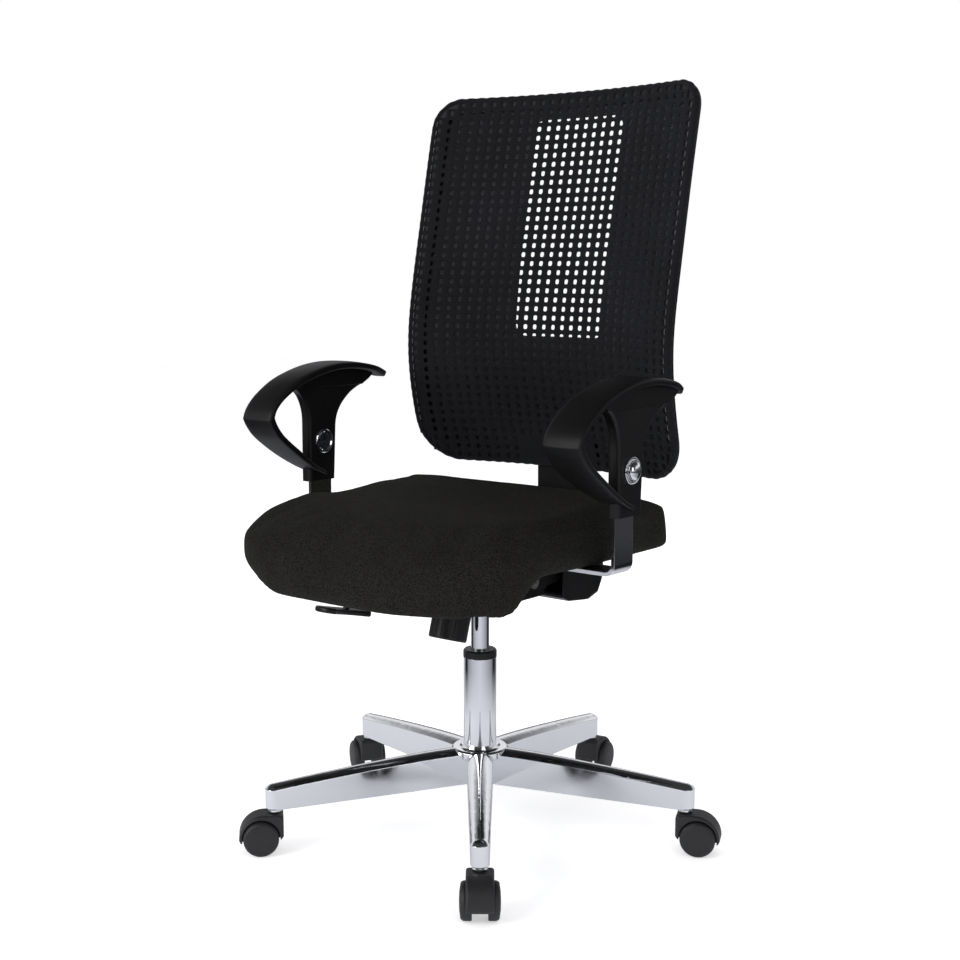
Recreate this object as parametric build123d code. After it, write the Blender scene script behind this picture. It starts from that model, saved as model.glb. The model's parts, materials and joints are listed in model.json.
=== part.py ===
from build123d import *
import math
import os

# Swivel office chair with a mesh back, synchro mechanism, gas lift, five-arm base and armrests.
# Units are millimetres.  The floor is z = 0, the lift's axis is the Z axis, the front is -Y and
# +X is the sitter's left.  Every piece is drawn at its rest place.

# --- driving dimensions -----------------------------------------------------------------------
# castors
WHEEL_R = 26.0
WHEEL_WIDTH = 17.0
WHEEL_INNER_X = 10.8
TRAIL = 20.0
AXLE_R = 3.0
HOOD_HALF_WIDTH = 19.0
HOOD_TOP_Z = 60.0
HOOD_CAVITY_R = 28.0
WEB_HALF_WIDTH = 9.8
STEM_R = 5.5
STEM_FOOT_R = 4.0

# star base
ARM_COUNT = 5
FIRST_ARM_DEG = 38.7
CASTOR_TURN_DEG = (0, 4, 7, -17, -10)
STEM_CIRCLE_R = 317.0
ARM_HUB_WIDTH = 39.0
ARM_END_WIDTH = 26.0
ARM_HUB_TOP = 130.0
ARM_END_TOP = 103.0
ARM_HUB_LOW = 77.0
ARM_END_LOW = 66.0
ARM_CROWN = 7.0
ARM_WALL = 3.5
BOSS_LOW = 61.0
HUB_R = 30.0
HUB_FLANGE_R = 43.0

# column
TUBE_R = 25.0
TUBE_WALL = 2.0
TUBE_LOW = 80.0
TUBE_TOP = 269.0
COLLAR_TOP = 281.0
CYLINDER_R = 14.0
CYLINDER_LOW = 172.0
CYLINDER_TOP = 395.0
ROD_R = 5.0
FIT = 0.05
GAP = 0.3

# tilt mechanism
HOUSING_HALF_WIDTH = 60.0
HOUSING_WALL = 4.0
SOCKET_R = 20.0
FRONT_PIVOT = (-70.0, 412.0)
REAR_PIVOT = (40.0, 385.0)
FRONT_SHAFT_R = 5.0
REAR_SHAFT_R = 6.0
CHEEK_X = 64.0
CHEEK_THICK = 4.0
LEVER_PIVOT_X = -22.0
LEVER_Z = 407.8
LEVER_R = 4.0
LEVER_PIN_R = 3.0
LUG_INNER_Y = 6.0
LUG_THICK = 4.0
PADDLE_THICK = 9.0
KNOB_LEAN_DEG = 17.0
KNOB_FOOT = (0.0, -77.0, 309.0)
KNOB_R = 28.5
KNOB_LENGTH = 42.0

# seat
SEAT_HALF_WIDTH = 248.0
SEAT_REAR_Y = 170.0
SEAT_FRONT_Y = -350.0
SEAT_UNDER_Z = 443.0
PAN_TOP_Z = 455.0
PLATE_THICK = 5.0
SEAT_CORNER_Y = -188.0
SEAT_REAR_CORNER_R = 48.0
SEAT_SHOULDER_R = 24.0
SEAT_TOP_Z = 516.0
PAN_HALF_WIDTH = 214.0
PAN_FRONT_Y = -186.0
PAN_REAR_Y = 112.0
PAN_CORNER_R = 30.0
SCREW_R = 3.0

# armrests, drawn for the +X side
BAR_OUTER_X = 288.0
BAR_THICK = 5.5
BAR_FRONT_Y = -71.0
BAR_REAR_Y = -26.0
BAR_BEND_R = 16.0
BAR_TOP_Z = 600.0
SLEEVE_X = (278.0, 298.0)
SLEEVE_LOW_Z = 519.0
SLEEVE_TOP_Z = 665.0
PAD_X = (250.0, 312.0)
BUTTON_AT = (-46.0, 581.0)

# backrest
BACK_HALF_WIDTH = 248.0
BACK_LOW_Z = 537.0
BACK_TOP_Z = 1121.0
BACK_SAG = 49.0
BACK_TOP_CORNER_R = 43.0
BACK_LOW_CORNER_R = 65.0
FRAME_WIDTH = 22.0
WINDOW = (86.0, 743.0, 1083.0)
WINDOW_CORNER_R = 20.0
SPINE_HALF_WIDTH = 55.0
SPINE_FRONT_Y = 219.0
SPINE_THICK = 10.0
SPINE_TOP_Z = 725.0

# height and depth of the backrest's front edge along its side, bottom to top
BACK_SIDE = [
    (520, 163),
    (590, 142),
    (660, 125),
    (728, 119),
    (800, 126),
    (910, 147.5),
    (1010, 168),
    (1125, 193),
]
# height, and depth of the rear shell at its side and at its middle
SHELL_LINE = [
    (525, 175.5, 225),
    (575, 160, 212),
    (650, 141, 205),
    (728, 132, 203),
    (850, 149, 215),
    (980, 175, 234),
    (1120, 206, 257),
]

SLAB_SECTIONS = 13

PARTS = {}


# --- shared helpers ---------------------------------------------------------------------------
def spin(points):
    """A solid turned about Z from a closed outline of (radius, height) points."""
    return revolve(Plane.XZ * make_face(Polyline(*points, close=True)), Axis.Z)


def rod(start, end, radius):
    """A round bar from one point to another."""
    line = Vector(*end) - Vector(*start)
    place = Plane(origin=start, z_dir=line)
    return place * Cylinder(radius, line.length, align=(Align.CENTER, Align.CENTER, Align.MIN))


def block(low, high):
    """A box between its lowest and highest corners."""
    size = [b - a for a, b in zip(low, high)]
    middle = [(a + b) / 2 for a, b in zip(low, high)]
    return Pos(*middle) * Box(*size)


def side_plate(edges, x_low, x_high):
    """A plate with a side outline in Y and Z, from x_low to x_high."""
    face = Plane(origin=(x_low, 0, 0), x_dir=(0, 1, 0), z_dir=(1, 0, 0)) * make_face(edges)
    return extrude(face, x_high - x_low, dir=(1, 0, 0))


def outline(points):
    """Straight edges around a closed outline."""
    return Polyline(*points, close=True).edges()


def mirrored(shape):
    return mirror(shape, about=Plane.YZ)


# --- star base --------------------------------------------------------------------------------
def arm_line(radius):
    """Width, underside and top of a base arm at a distance from the column."""
    along = (radius - HUB_R) / (STEM_CIRCLE_R - HUB_R)
    width = ARM_HUB_WIDTH + (ARM_END_WIDTH - ARM_HUB_WIDTH) * along
    low = ARM_HUB_LOW + (ARM_END_LOW - ARM_HUB_LOW) * along
    top = ARM_HUB_TOP + (ARM_END_TOP - ARM_HUB_TOP) * max(along, 0.0) ** 1.35
    return width, low, top


def arm_section(radius, inset=0.0):
    """One cross-section of an arm: upright sides, a crease and a rounded top."""
    width, low, top = arm_line(radius)
    half = width / 2 - inset
    low = low - inset
    top = top - inset
    shoulder = top - ARM_CROWN
    edges = [
        Line((-half, low), (half, low)),
        Line((half, low), (half, shoulder)),
        ThreePointArc((half, shoulder), (0, top), (-half, shoulder)),
        Line((-half, shoulder), (-half, low)),
    ]
    return Plane(origin=(0, -radius, 0), x_dir=(1, 0, 0), z_dir=(0, -1, 0)) * make_face(edges)


def base_arm():
    beam = loft([arm_section(r) for r in (16, 70, 150, 235, STEM_CIRCLE_R)])
    channel = loft([arm_section(r, ARM_WALL) for r in (46, 110, 180, 240, 296)])
    beam -= channel
    for r in (110, 175, 240):
        beam += channel & block((-30, -r - 1.5, ARM_HUB_LOW - 5), (30, -r + 1.5, ARM_HUB_TOP))
    width, low, top = arm_line(STEM_CIRCLE_R)
    half = width / 2
    nose = revolve(
        Plane.XZ
        * make_face(
            [
                Line((0, BOSS_LOW), (9.5, BOSS_LOW)),
                Line((9.5, BOSS_LOW), (11, BOSS_LOW + 1.8)),
                Line((11, BOSS_LOW + 1.8), (11, low)),
                Line((11, low), (half, low + 1.5)),
                Line((half, low + 1.5), (half, top - ARM_CROWN)),
                RadiusArc((half, top - ARM_CROWN), (0, top), -(half**2 + ARM_CROWN**2) / (2 * ARM_CROWN)),
                Line((0, top), (0, BOSS_LOW)),
            ]
        ),
        Axis.Z,
    )
    beam += Pos(0, -STEM_CIRCLE_R, 0) * nose
    return beam


def star_base():
    arm = base_arm()
    body = spin(
        [
            (0, ARM_HUB_LOW - 1),
            (HUB_R, ARM_HUB_LOW - 1),
            (HUB_R + 1, 112),
            (HUB_FLANGE_R, 119),
            (HUB_FLANGE_R, 127.5),
            (HUB_FLANGE_R - 2.5, ARM_HUB_TOP),
            (31, ARM_HUB_TOP),
            (30, ARM_HUB_TOP + 1.2),
            (28.5, ARM_HUB_TOP + 4),
            (0, ARM_HUB_TOP + 4),
        ]
    )
    for index in range(ARM_COUNT):
        body += Rot(0, 0, FIRST_ARM_DEG + index * 360 / ARM_COUNT) * arm
    body -= Pos(0, 0, 100) * Cylinder(TUBE_R + FIT, 120)
    stem_hole = Pos(0, -STEM_CIRCLE_R, BOSS_LOW + 12) * Cylinder(STEM_R + FIT, 30)
    for index in range(ARM_COUNT):
        body -= Rot(0, 0, FIRST_ARM_DEG + index * 360 / ARM_COUNT) * stem_hole
    return body


# --- castors ----------------------------------------------------------------------------------
def castor_stem():
    """Grip stem: the foot turns in the hood, the upper end is pressed into the arm."""
    return spin(
        [
            (0, 42.5),
            (STEM_FOOT_R, 42.5),
            (STEM_FOOT_R, 56.5),
            (6.8, 56.5),
            (6.8, 60.0),
            (STEM_R, 60.6),
            (STEM_R, 76),
            (STEM_R - 0.7, 76.5),
            (STEM_R - 0.7, 79),
            (STEM_R, 79.5),
            (STEM_R, 86),
            (STEM_R - 1.5, 88),
            (0, 88),
        ]
    )


def castor_hood():
    """Hood over both wheels, with a middle web that holds the axle, the stem and the skirt."""
    axle_z = WHEEL_R
    arc_r = 36.0
    back = 13.0
    corner = 6.0
    arc_mid_y = -16.0
    arc_mid_z = HOOD_TOP_Z - arc_r
    low_z = axle_z - 5
    slant = arc_r * math.sqrt(0.5)
    edges = [
        Line((back - 4, low_z + 3), (back, low_z + 7)),
        Line((back, low_z + 7), (back, HOOD_TOP_Z - corner)),
        RadiusArc((back, HOOD_TOP_Z - corner), (back - corner, HOOD_TOP_Z), -corner),
        Line((back - corner, HOOD_TOP_Z), (arc_mid_y, HOOD_TOP_Z)),
        ThreePointArc(
            (arc_mid_y, HOOD_TOP_Z),
            (arc_mid_y - slant, arc_mid_z + slant),
            (arc_mid_y - arc_r, arc_mid_z),
        ),
        Line((arc_mid_y - arc_r, arc_mid_z), (-TRAIL - HOOD_CAVITY_R - 1.5, low_z - 1)),
        Line((-TRAIL - HOOD_CAVITY_R - 1.5, low_z - 1), (-TRAIL, low_z - 1)),
        Line((-TRAIL, low_z - 1), (back - 4, low_z + 3)),
    ]
    solid = side_plate(edges, -HOOD_HALF_WIDTH, HOOD_HALF_WIDTH)
    rounded = solid.edges().filter_by(lambda e: e.center().Z > HOOD_TOP_Z - 8 and abs(e.center().X) > 18)
    solid = fillet(rounded, 4.0)
    axis = Plane(origin=(0, -TRAIL, axle_z), z_dir=(1, 0, 0))
    cavity_width = HOOD_HALF_WIDTH + 1 - WEB_HALF_WIDTH
    for side in (-1, 1):
        middle = side * (WEB_HALF_WIDTH + cavity_width / 2)
        solid -= axis * (Pos(0, 0, middle) * Cylinder(HOOD_CAVITY_R, cavity_width))
        half_width = cavity_width / 2
        mouth_low = (middle - half_width, -TRAIL - 18, low_z - 4)
        solid -= block(mouth_low, (middle + half_width, 5, low_z + 8))
    solid += axis * Cylinder(8, 2 * WEB_HALF_WIDTH)
    solid -= axis * Cylinder(AXLE_R + FIT, 60)
    solid -= Pos(0, 0, 49.2) * Cylinder(STEM_FOOT_R + FIT, 14.4)
    solid -= Pos(0, 0, HOOD_TOP_Z - 1.85) * Cylinder(8.6, 4.3)
    return solid


def castor_axle():
    return Plane(origin=(0, -TRAIL, WHEEL_R), z_dir=(1, 0, 0)) * Cylinder(AXLE_R, 48)


def castor_wheel(side):
    """Wheel with a blind bore from its inner face and a slightly domed outer disc."""
    inner = WHEEL_INNER_X
    outer = inner + WHEEL_WIDTH
    face = [
        (AXLE_R + FIT, inner),
        (WHEEL_R - 1, inner),
        (WHEEL_R, inner + 1),
        (WHEEL_R, outer - 6.5),
        (WHEEL_R - 1.2, outer - 3.6),
        (WHEEL_R - 3.4, outer - 1.8),
        (WHEEL_R - 4.2, outer - 2.3),
        (WHEEL_R - 7, outer - 1.4),
        (12, outer - 0.4),
        (0, outer),
        (0, 24.5),
        (AXLE_R + FIT, 24.5),
    ]
    turned = revolve(Plane.XZ * make_face(Polyline(*face, close=True)), Axis.Z)
    turn = Rot(0, 90, 0) if side > 0 else Rot(0, -90, 0)
    return Pos(0, -TRAIL, WHEEL_R) * (turn * turned)


def castors():
    stems = []
    pieces = {
        "hood": castor_hood(),
        "axle": castor_axle(),
        "wheel_a": castor_wheel(1),
        "wheel_b": castor_wheel(-1),
    }
    for index, turn in enumerate(CASTOR_TURN_DEG):
        arm_deg = FIRST_ARM_DEG + index * 360 / ARM_COUNT
        place = Rot(0, 0, arm_deg) * Pos(0, -STEM_CIRCLE_R, 0) * Rot(0, 0, turn)
        stems.append(place * castor_stem())
        for name, piece in pieces.items():
            PARTS[f"castor_{index + 1}_{name}"] = place * piece
    PARTS["castor_stems"] = stems


# --- column -----------------------------------------------------------------------------------
def column():
    inner = TUBE_R - TUBE_WALL
    plate_top = TUBE_LOW + 4
    PARTS["column_outer_tube"] = spin(
        [
            (ROD_R + GAP, TUBE_LOW),
            (TUBE_R, TUBE_LOW),
            (TUBE_R, TUBE_TOP),
            (inner, TUBE_TOP),
            (inner, plate_top),
            (ROD_R + GAP, plate_top),
        ]
    )
    PARTS["column_collar"] = spin(
        [
            (CYLINDER_R + GAP, TUBE_TOP - 7),
            (inner - FIT, TUBE_TOP - 7),
            (inner - FIT, TUBE_TOP),
            (TUBE_R + 0.4, TUBE_TOP),
            (TUBE_R + 0.4, COLLAR_TOP - 2.5),
            (TUBE_R - 1.6, COLLAR_TOP),
            (CYLINDER_R + GAP, COLLAR_TOP),
        ]
    )
    PARTS["guide_bush"] = spin(
        [
            (CYLINDER_R + FIT, 150),
            (inner - FIT, 150),
            (inner - FIT, TUBE_TOP - 7.2),
            (CYLINDER_R + FIT, TUBE_TOP - 7.2),
        ]
    )
    race = spin([(5.4, 0), (12, 0), (12, 1.4), (5.4, 1.4)])
    ball = Pos(8.7, 0, 2.75) * Sphere(1.25)
    balls = [Rot(0, 0, step * 45) * ball for step in range(8)]
    bearing = [race, Pos(0, 0, 4.1) * race] + balls
    PARTS["thrust_bearing"] = [Pos(0, 0, plate_top) * piece for piece in bearing]
    PARTS["piston_rod"] = spin(
        [
            (0, 74),
            (ROD_R - 1, 74),
            (ROD_R, 75),
            (ROD_R, 77),
            (ROD_R - 0.8, 77),
            (ROD_R - 0.8, 79),
            (ROD_R, 79),
            (ROD_R, plate_top + 5.8),
            (7.5, plate_top + 5.8),
            (7.5, plate_top + 8.3),
            (ROD_R, plate_top + 8.3),
            (ROD_R, 270),
            (CYLINDER_R - 2.1, 270),
            (CYLINDER_R - 2.1, 284),
            (0, 284),
        ]
    )
    clip = spin([(ROD_R - 0.75, 77.1), (9, 77.1), (9, 78.9), (ROD_R - 0.75, 78.9)])
    PARTS["retaining_clip"] = clip - block((-3.4, -12, 76), (3.4, 0, 80))
    PARTS["gas_cylinder"] = spin(
        [
            (ROD_R + FIT, CYLINDER_LOW),
            (CYLINDER_R, CYLINDER_LOW),
            (CYLINDER_R, 352),
            (CYLINDER_R - 0.8, CYLINDER_TOP),
            (2.05, CYLINDER_TOP),
            (2.05, CYLINDER_TOP - 16),
            (CYLINDER_R - 2, CYLINDER_TOP - 16),
            (CYLINDER_R - 2, CYLINDER_LOW + 10),
            (ROD_R + FIT, CYLINDER_LOW + 10),
        ]
    )
    PARTS["release_pin"] = spin(
        [
            (0, CYLINDER_TOP - 22),
            (2, CYLINDER_TOP - 22),
            (2, CYLINDER_TOP + 5),
            (4, CYLINDER_TOP + 5),
            (4, CYLINDER_TOP + 8),
            (0, CYLINDER_TOP + 8),
        ]
    )


# --- tilt mechanism ---------------------------------------------------------------------------
def knob_axis():
    lean = math.radians(KNOB_LEAN_DEG)
    return Plane(origin=KNOB_FOOT, x_dir=(1, 0, 0), z_dir=(0, math.sin(lean), math.cos(lean)))


def housing_side(inset):
    """Side outline of the mechanism's housing, with its top falling towards the rear."""
    return outline(
        [
            (-105 + inset, 368),
            (-96 + inset, 358 + inset),
            (76 - inset, 358 + inset),
            (88 - inset, 370),
            (88 - inset, 405 + 20 * (inset > 0)),
            (-40, 428 + 20 * (inset > 0)),
            (-105 + inset, 428 + 20 * (inset > 0)),
        ]
    )


def mechanism():
    half = HOUSING_HALF_WIDTH
    wall = HOUSING_WALL
    shell = side_plate(housing_side(0), -half, half)
    shell = fillet(shell.edges().filter_by(Axis.X).group_by(Axis.Z)[0], 5)
    cavity = side_plate(housing_side(wall), -half + wall, half - wall)
    shell -= cavity
    shell += Pos(0, 0, 374) * Cylinder(SOCKET_R, 40)
    for y in (-LUG_INNER_Y - LUG_THICK, LUG_INNER_Y):
        lug = block((LEVER_PIVOT_X - 6, y, 390), (LEVER_PIVOT_X + 10, y + LUG_THICK, LEVER_Z + 7))
        shell += lug - rod((LEVER_PIVOT_X, -20, LEVER_Z), (LEVER_PIVOT_X, 20, LEVER_Z), LEVER_PIN_R + FIT)
    for y in (-30, 62):
        shell += block((-half + wall, y - 1.5, 360), (half - wall, y + 1.5, 392))
    shell -= spin(
        [
            (0, 345),
            (CYLINDER_R + FIT, 345),
            (CYLINDER_R + FIT, 352),
            (CYLINDER_R - 0.8 + FIT, CYLINDER_TOP),
            (0, CYLINDER_TOP),
        ]
    )
    for (y, z), radius in ((FRONT_PIVOT, FRONT_SHAFT_R), (REAR_PIVOT, REAR_SHAFT_R)):
        shell -= rod((-80, y, z), (80, y, z), radius + FIT)
    shell -= block((-half - 2, -8, 386), (-half + wall + 1, 8, 440))
    shell -= knob_axis() * (Pos(0, 0, 55) * Cylinder(4.6, 40))
    PARTS["mechanism_housing"] = shell
    reach = CHEEK_X + CHEEK_THICK + 4
    for name, pivot, radius in (
        ("front_pivot_shaft", FRONT_PIVOT, FRONT_SHAFT_R),
        ("rear_pivot_shaft", REAR_PIVOT, REAR_SHAFT_R),
    ):
        shaft = rod((-reach, pivot[0], pivot[1]), (reach, pivot[0], pivot[1]), radius)
        for x in (-reach, reach):
            shaft += rod((x - 1.5, pivot[0], pivot[1]), (x + 1.5, pivot[0], pivot[1]), radius + 3.5)
        PARTS[name] = shaft
    PARTS["height_lever"] = height_lever()
    tension_set()


def height_lever():
    """Cranked rod on a cross pin by the gas lift, out to a two-lobed paddle beside the seat."""
    points = [
        (4.5, 0, LEVER_Z),
        (-64, 0, LEVER_Z - 1.8),
        (-140, -30, 380),
        (-188, -78, 340),
        (-202, -88, 325),
    ]
    lever = rod(points[0], points[1], LEVER_R)
    for start, end in zip(points[1:], points[2:]):
        lever += rod(start, end, LEVER_R)
    for joint in points[1:-1]:
        lever += Pos(*joint) * Sphere(LEVER_R)
    pin_half = LUG_INNER_Y + LUG_THICK + 1
    lever += rod((LEVER_PIVOT_X, -pin_half, LEVER_Z), (LEVER_PIVOT_X, pin_half, LEVER_Z), LEVER_PIN_R)
    lobes = [
        RadiusArc((-182, -124), (-226, -124), 26),
        Spline([(-226, -124), (-221, -88), (-227, -46)]),
        RadiusArc((-227, -46), (-181, -46), 27),
        Spline([(-181, -46), (-187, -88), (-182, -124)]),
    ]
    paddle = extrude(make_face(lobes), PADDLE_THICK)
    paddle = fillet(paddle.edges().filter_by(Plane.XY), 3.2)
    tilt = Pos(0, -85, 320) * Rot(-13, 0, 0) * Pos(0, 85, 0)
    return lever + tilt * paddle


def tension_set():
    """Ribbed knob with its screw, and the coil spring that the screw loads."""
    grip = Cylinder(KNOB_R, KNOB_LENGTH, align=(Align.CENTER, Align.CENTER, Align.MIN))
    grip = fillet(grip.edges().group_by(Axis.Z)[0], 3)
    flute = Cylinder(1.7, KNOB_LENGTH - 5, align=(Align.CENTER, Align.CENTER, Align.MIN))
    ribs = 20
    for step in range(ribs):
        grip -= Rot(0, 0, step * 360 / ribs) * (Pos(KNOB_R + 0.4, 0, 5.01) * flute)
    recess = Cylinder(KNOB_R - 8, 3, align=(Align.CENTER, Align.CENTER, Align.MIN))
    grip -= recess
    screw = Cylinder(4, 96, align=(Align.CENTER, Align.CENTER, Align.MIN))
    PARTS["tension_knob"] = knob_axis() * (grip + screw)
    wire_r = 1.6
    coil = Helix(pitch=6.5, height=26, radius=10.5)
    section = Plane(origin=coil @ 0, z_dir=coil % 0) * Circle(wire_r)
    spring = sweep(section, path=coil)
    PARTS["tension_spring"] = knob_axis() * (Pos(0, 0, 61) * spring)


# --- seat -------------------------------------------------------------------------------------
def seat_plan(inset):
    """Plan outline of the seat: bowed front, round front corners, smaller rear corners."""
    half = SEAT_HALF_WIDTH - inset
    rear = SEAT_REAR_Y - inset
    front = SEAT_FRONT_Y + inset
    bow = (100.0, front + 11)
    corner = (half - 42, SEAT_CORNER_Y - 103)
    rear_r = SEAT_REAR_CORNER_R
    leaving, arriving = (1, 0.2), (0, 1)
    left = Spline([bow, corner, (half, SEAT_CORNER_Y)], tangents=[leaving, arriving])
    edges = [
        ThreePointArc((-bow[0], bow[1]), (0, front), bow),
        left,
        Line((half, SEAT_CORNER_Y), (half, rear - rear_r)),
        RadiusArc((half, rear - rear_r), (half - rear_r, rear), -rear_r),
        Line((half - rear_r, rear), (-half + rear_r, rear)),
        RadiusArc((-half + rear_r, rear), (-half, rear - rear_r), -rear_r),
        Line((-half, rear - rear_r), (-half, SEAT_CORNER_Y)),
        left.mirror(Plane.YZ),
    ]
    return make_face(edges)


def seat_side():
    """Side outline of the cushion with its waterfall front."""
    return [
        Spline([(-252, 422), (-278, 412), (-306, 408), (-330, 413), (-349, 434)]),
        Spline([(-349, 434), (-338, 462), (-304, 490), (-240, 509), (-150, 515)]),
        Spline(
            [
                (-150, 515),
                (-20, 514),
                (137, 512),
                (161, 503),
                (SEAT_REAR_Y, 482),
                (162, 458),
                (147, SEAT_UNDER_Z),
            ]
        ),
        Line((147, SEAT_UNDER_Z), (-196, SEAT_UNDER_Z)),
        Line((-196, SEAT_UNDER_Z), (-252, 422)),
    ]


def seat_shoulders():
    """Front outline that rounds the cushion's upper side edges, extruded along the seat."""
    half, r, top = SEAT_HALF_WIDTH, SEAT_SHOULDER_R, SEAT_TOP_Z
    edges = [
        Line((-half, SEAT_UNDER_Z - 60), (half, SEAT_UNDER_Z - 60)),
        Line((half, SEAT_UNDER_Z - 60), (half, top - r)),
        RadiusArc((half, top - r), (half - r, top), -r),
        Line((half - r, top), (-half + r, top)),
        RadiusArc((-half + r, top), (-half, top - r), -r),
        Line((-half, top - r), (-half, SEAT_UNDER_Z - 60)),
    ]
    face = Plane(origin=(0, SEAT_FRONT_Y - 10, 0), x_dir=(1, 0, 0), z_dir=(0, -1, 0)) * make_face(edges)
    return extrude(face, SEAT_REAR_Y - SEAT_FRONT_Y + 20, dir=(0, 1, 0))


def seat():
    plan = extrude(Pos(0, 0, SEAT_UNDER_Z - 60) * seat_plan(0), 180)
    cushion = side_plate(seat_side(), -SEAT_HALF_WIDTH, SEAT_HALF_WIDTH) & plan & seat_shoulders()
    pan_low = (-PAN_HALF_WIDTH, PAN_FRONT_Y, SEAT_UNDER_Z)
    pan_high = (PAN_HALF_WIDTH, PAN_REAR_Y, PAN_TOP_Z)
    room_low = (pan_low[0] - GAP, pan_low[1] - GAP, SEAT_UNDER_Z - 13)
    room_high = (pan_high[0] + GAP, pan_high[1] + GAP, PAN_TOP_Z + GAP)
    PARTS["seat_cushion"] = cushion - block(room_low, room_high)
    pan = block(pan_low, pan_high)
    pan = fillet(pan.edges().filter_by(Axis.Z), PAN_CORNER_R)
    pocket_half = 24
    for x in (-140, -70, 0, 70, 140):
        for y_low, y_high in ((PAN_FRONT_Y + 18, -92), (2, PAN_REAR_Y - 18)):
            pocket_low = (x - pocket_half, y_low, SEAT_UNDER_Z + 5)
            pan -= block(pocket_low, (x + pocket_half, y_high, PAN_TOP_Z + 1))
    plate = block((-88, -118, SEAT_UNDER_Z - PLATE_THICK), (88, 108, SEAT_UNDER_Z))
    plate = fillet(plate.edges().filter_by(Axis.Z), 14)
    y, z = FRONT_PIVOT
    top = SEAT_UNDER_Z - PLATE_THICK + 1
    cheek_edges = [
        Line((y - 26, top), (y - 13, z)),
        ThreePointArc((y - 13, z), (y, z - 13), (y + 13, z)),
        Line((y + 13, z), (y + 26, top)),
        Line((y + 26, top), (y - 26, top)),
    ]
    for x in (CHEEK_X, -CHEEK_X - CHEEK_THICK):
        plate += side_plate(cheek_edges, x, x + CHEEK_THICK)
    plate -= rod((-80, y, z), (80, y, z), FRONT_SHAFT_R + FIT)
    plate_spots = [(side * 75, y) for side in (-1, 1) for y in (-95, 88)]
    bar_spots = [(side * x, BAR_FRONT_Y + y) for side in (-1, 1) for x in (130, 190) for y in (12, 33)]
    spots = plate_spots + bar_spots
    screws = []
    for sx, sy in spots:
        head_z = SEAT_UNDER_Z - PLATE_THICK if abs(sx) < 100 else SEAT_UNDER_Z - BAR_THICK
        hole = Pos(sx, sy, 445) * Cylinder(SCREW_R + FIT, 30)
        pan -= hole
        plate -= hole
        screw = rod((sx, sy, head_z), (sx, sy, PAN_TOP_Z - 1), SCREW_R)
        head = rod((sx, sy, head_z - 3), (sx, sy, head_z), 6)
        head -= extrude(Pos(sx, sy, head_z - 3) * RegularPolygon(2.6, 6), 2)
        screws.append(screw + head)
    PARTS["seat_pan"] = pan
    PARTS["seat_plate"] = plate
    PARTS["seat_screws"] = screws
    return spots


# --- armrests ---------------------------------------------------------------------------------
def arm_bracket(spots):
    """Flat steel bar: along under the seat, round a bend and up into the sleeve."""
    low = SEAT_UNDER_Z - BAR_THICK
    outer = BAR_OUTER_X
    r = BAR_BEND_R
    inner_r = r - BAR_THICK
    s = math.sqrt(0.5)
    mid = (outer - r, low + r)
    edges = [
        Line((104, low), (outer - r, low)),
        ThreePointArc((outer - r, low), (mid[0] + r * s, mid[1] - r * s), (outer, low + r)),
        Line((outer, low + r), (outer, BAR_TOP_Z)),
        Line((outer, BAR_TOP_Z), (outer - BAR_THICK, BAR_TOP_Z)),
        Line((outer - BAR_THICK, BAR_TOP_Z), (outer - BAR_THICK, low + r)),
        ThreePointArc(
            (outer - BAR_THICK, low + r),
            (mid[0] + inner_r * s, mid[1] - inner_r * s),
            (outer - r, low + BAR_THICK),
        ),
        Line((outer - r, low + BAR_THICK), (104, low + BAR_THICK)),
        Line((104, low + BAR_THICK), (104, low)),
    ]
    face = Plane(origin=(0, BAR_FRONT_Y, 0), x_dir=(1, 0, 0), z_dir=(0, -1, 0)) * make_face(edges)
    bar = extrude(face, BAR_REAR_Y - BAR_FRONT_Y, dir=(0, 1, 0))
    for x, y in spots:
        if x > 100:
            bar -= Pos(x, y, low) * Cylinder(SCREW_R + FIT, 30)
    return bar


def sleeve_body():
    """Outer form of the upright sleeve, which flares out under the pad."""
    x_low, x_high = SLEEVE_X
    low = SLEEVE_LOW_Z
    top = SLEEVE_TOP_Z
    edges = [
        Line((-77, low), (-20, low)),
        Line((-20, low), (-16, 600)),
        Spline([(-16, 600), (-8, 628), (14, 650), (45, top)], tangents=[(0.02, 1), (1, 0.35)]),
        Line((45, top), (-103, top)),
        Spline([(-103, top), (-86, 648), (-78, 625), (-77, 600)], tangents=[(1, -0.6), (0, -1)]),
        Line((-77, 600), (-77, low)),
    ]
    sleeve = side_plate(edges, x_low, x_high)
    upright = sleeve.edges().filter_by(lambda e: abs(e.center().Z - 557) < 6 and e.length > 60)
    return fillet(upright, 6)


def arm_sleeve():
    """Plastic sleeve that slides on the bar, with its button hole and the recess in front."""
    sleeve = sleeve_body()
    x_low, x_high = SLEEVE_X
    low = SLEEVE_LOW_Z
    room = GAP
    sleeve -= block(
        (BAR_OUTER_X - BAR_THICK - room, BAR_FRONT_Y - room, low - 1),
        (BAR_OUTER_X + room, BAR_REAR_Y + room, BAR_TOP_Z + 43),
    )
    y, z = BUTTON_AT
    sleeve -= rod((BAR_OUTER_X - 0.1, y, z), (x_high + 1, y, z), 6 + FIT)
    sleeve -= block((x_low + 9, -95, 636), (x_high - 9, -81, 656))
    return sleeve


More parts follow.
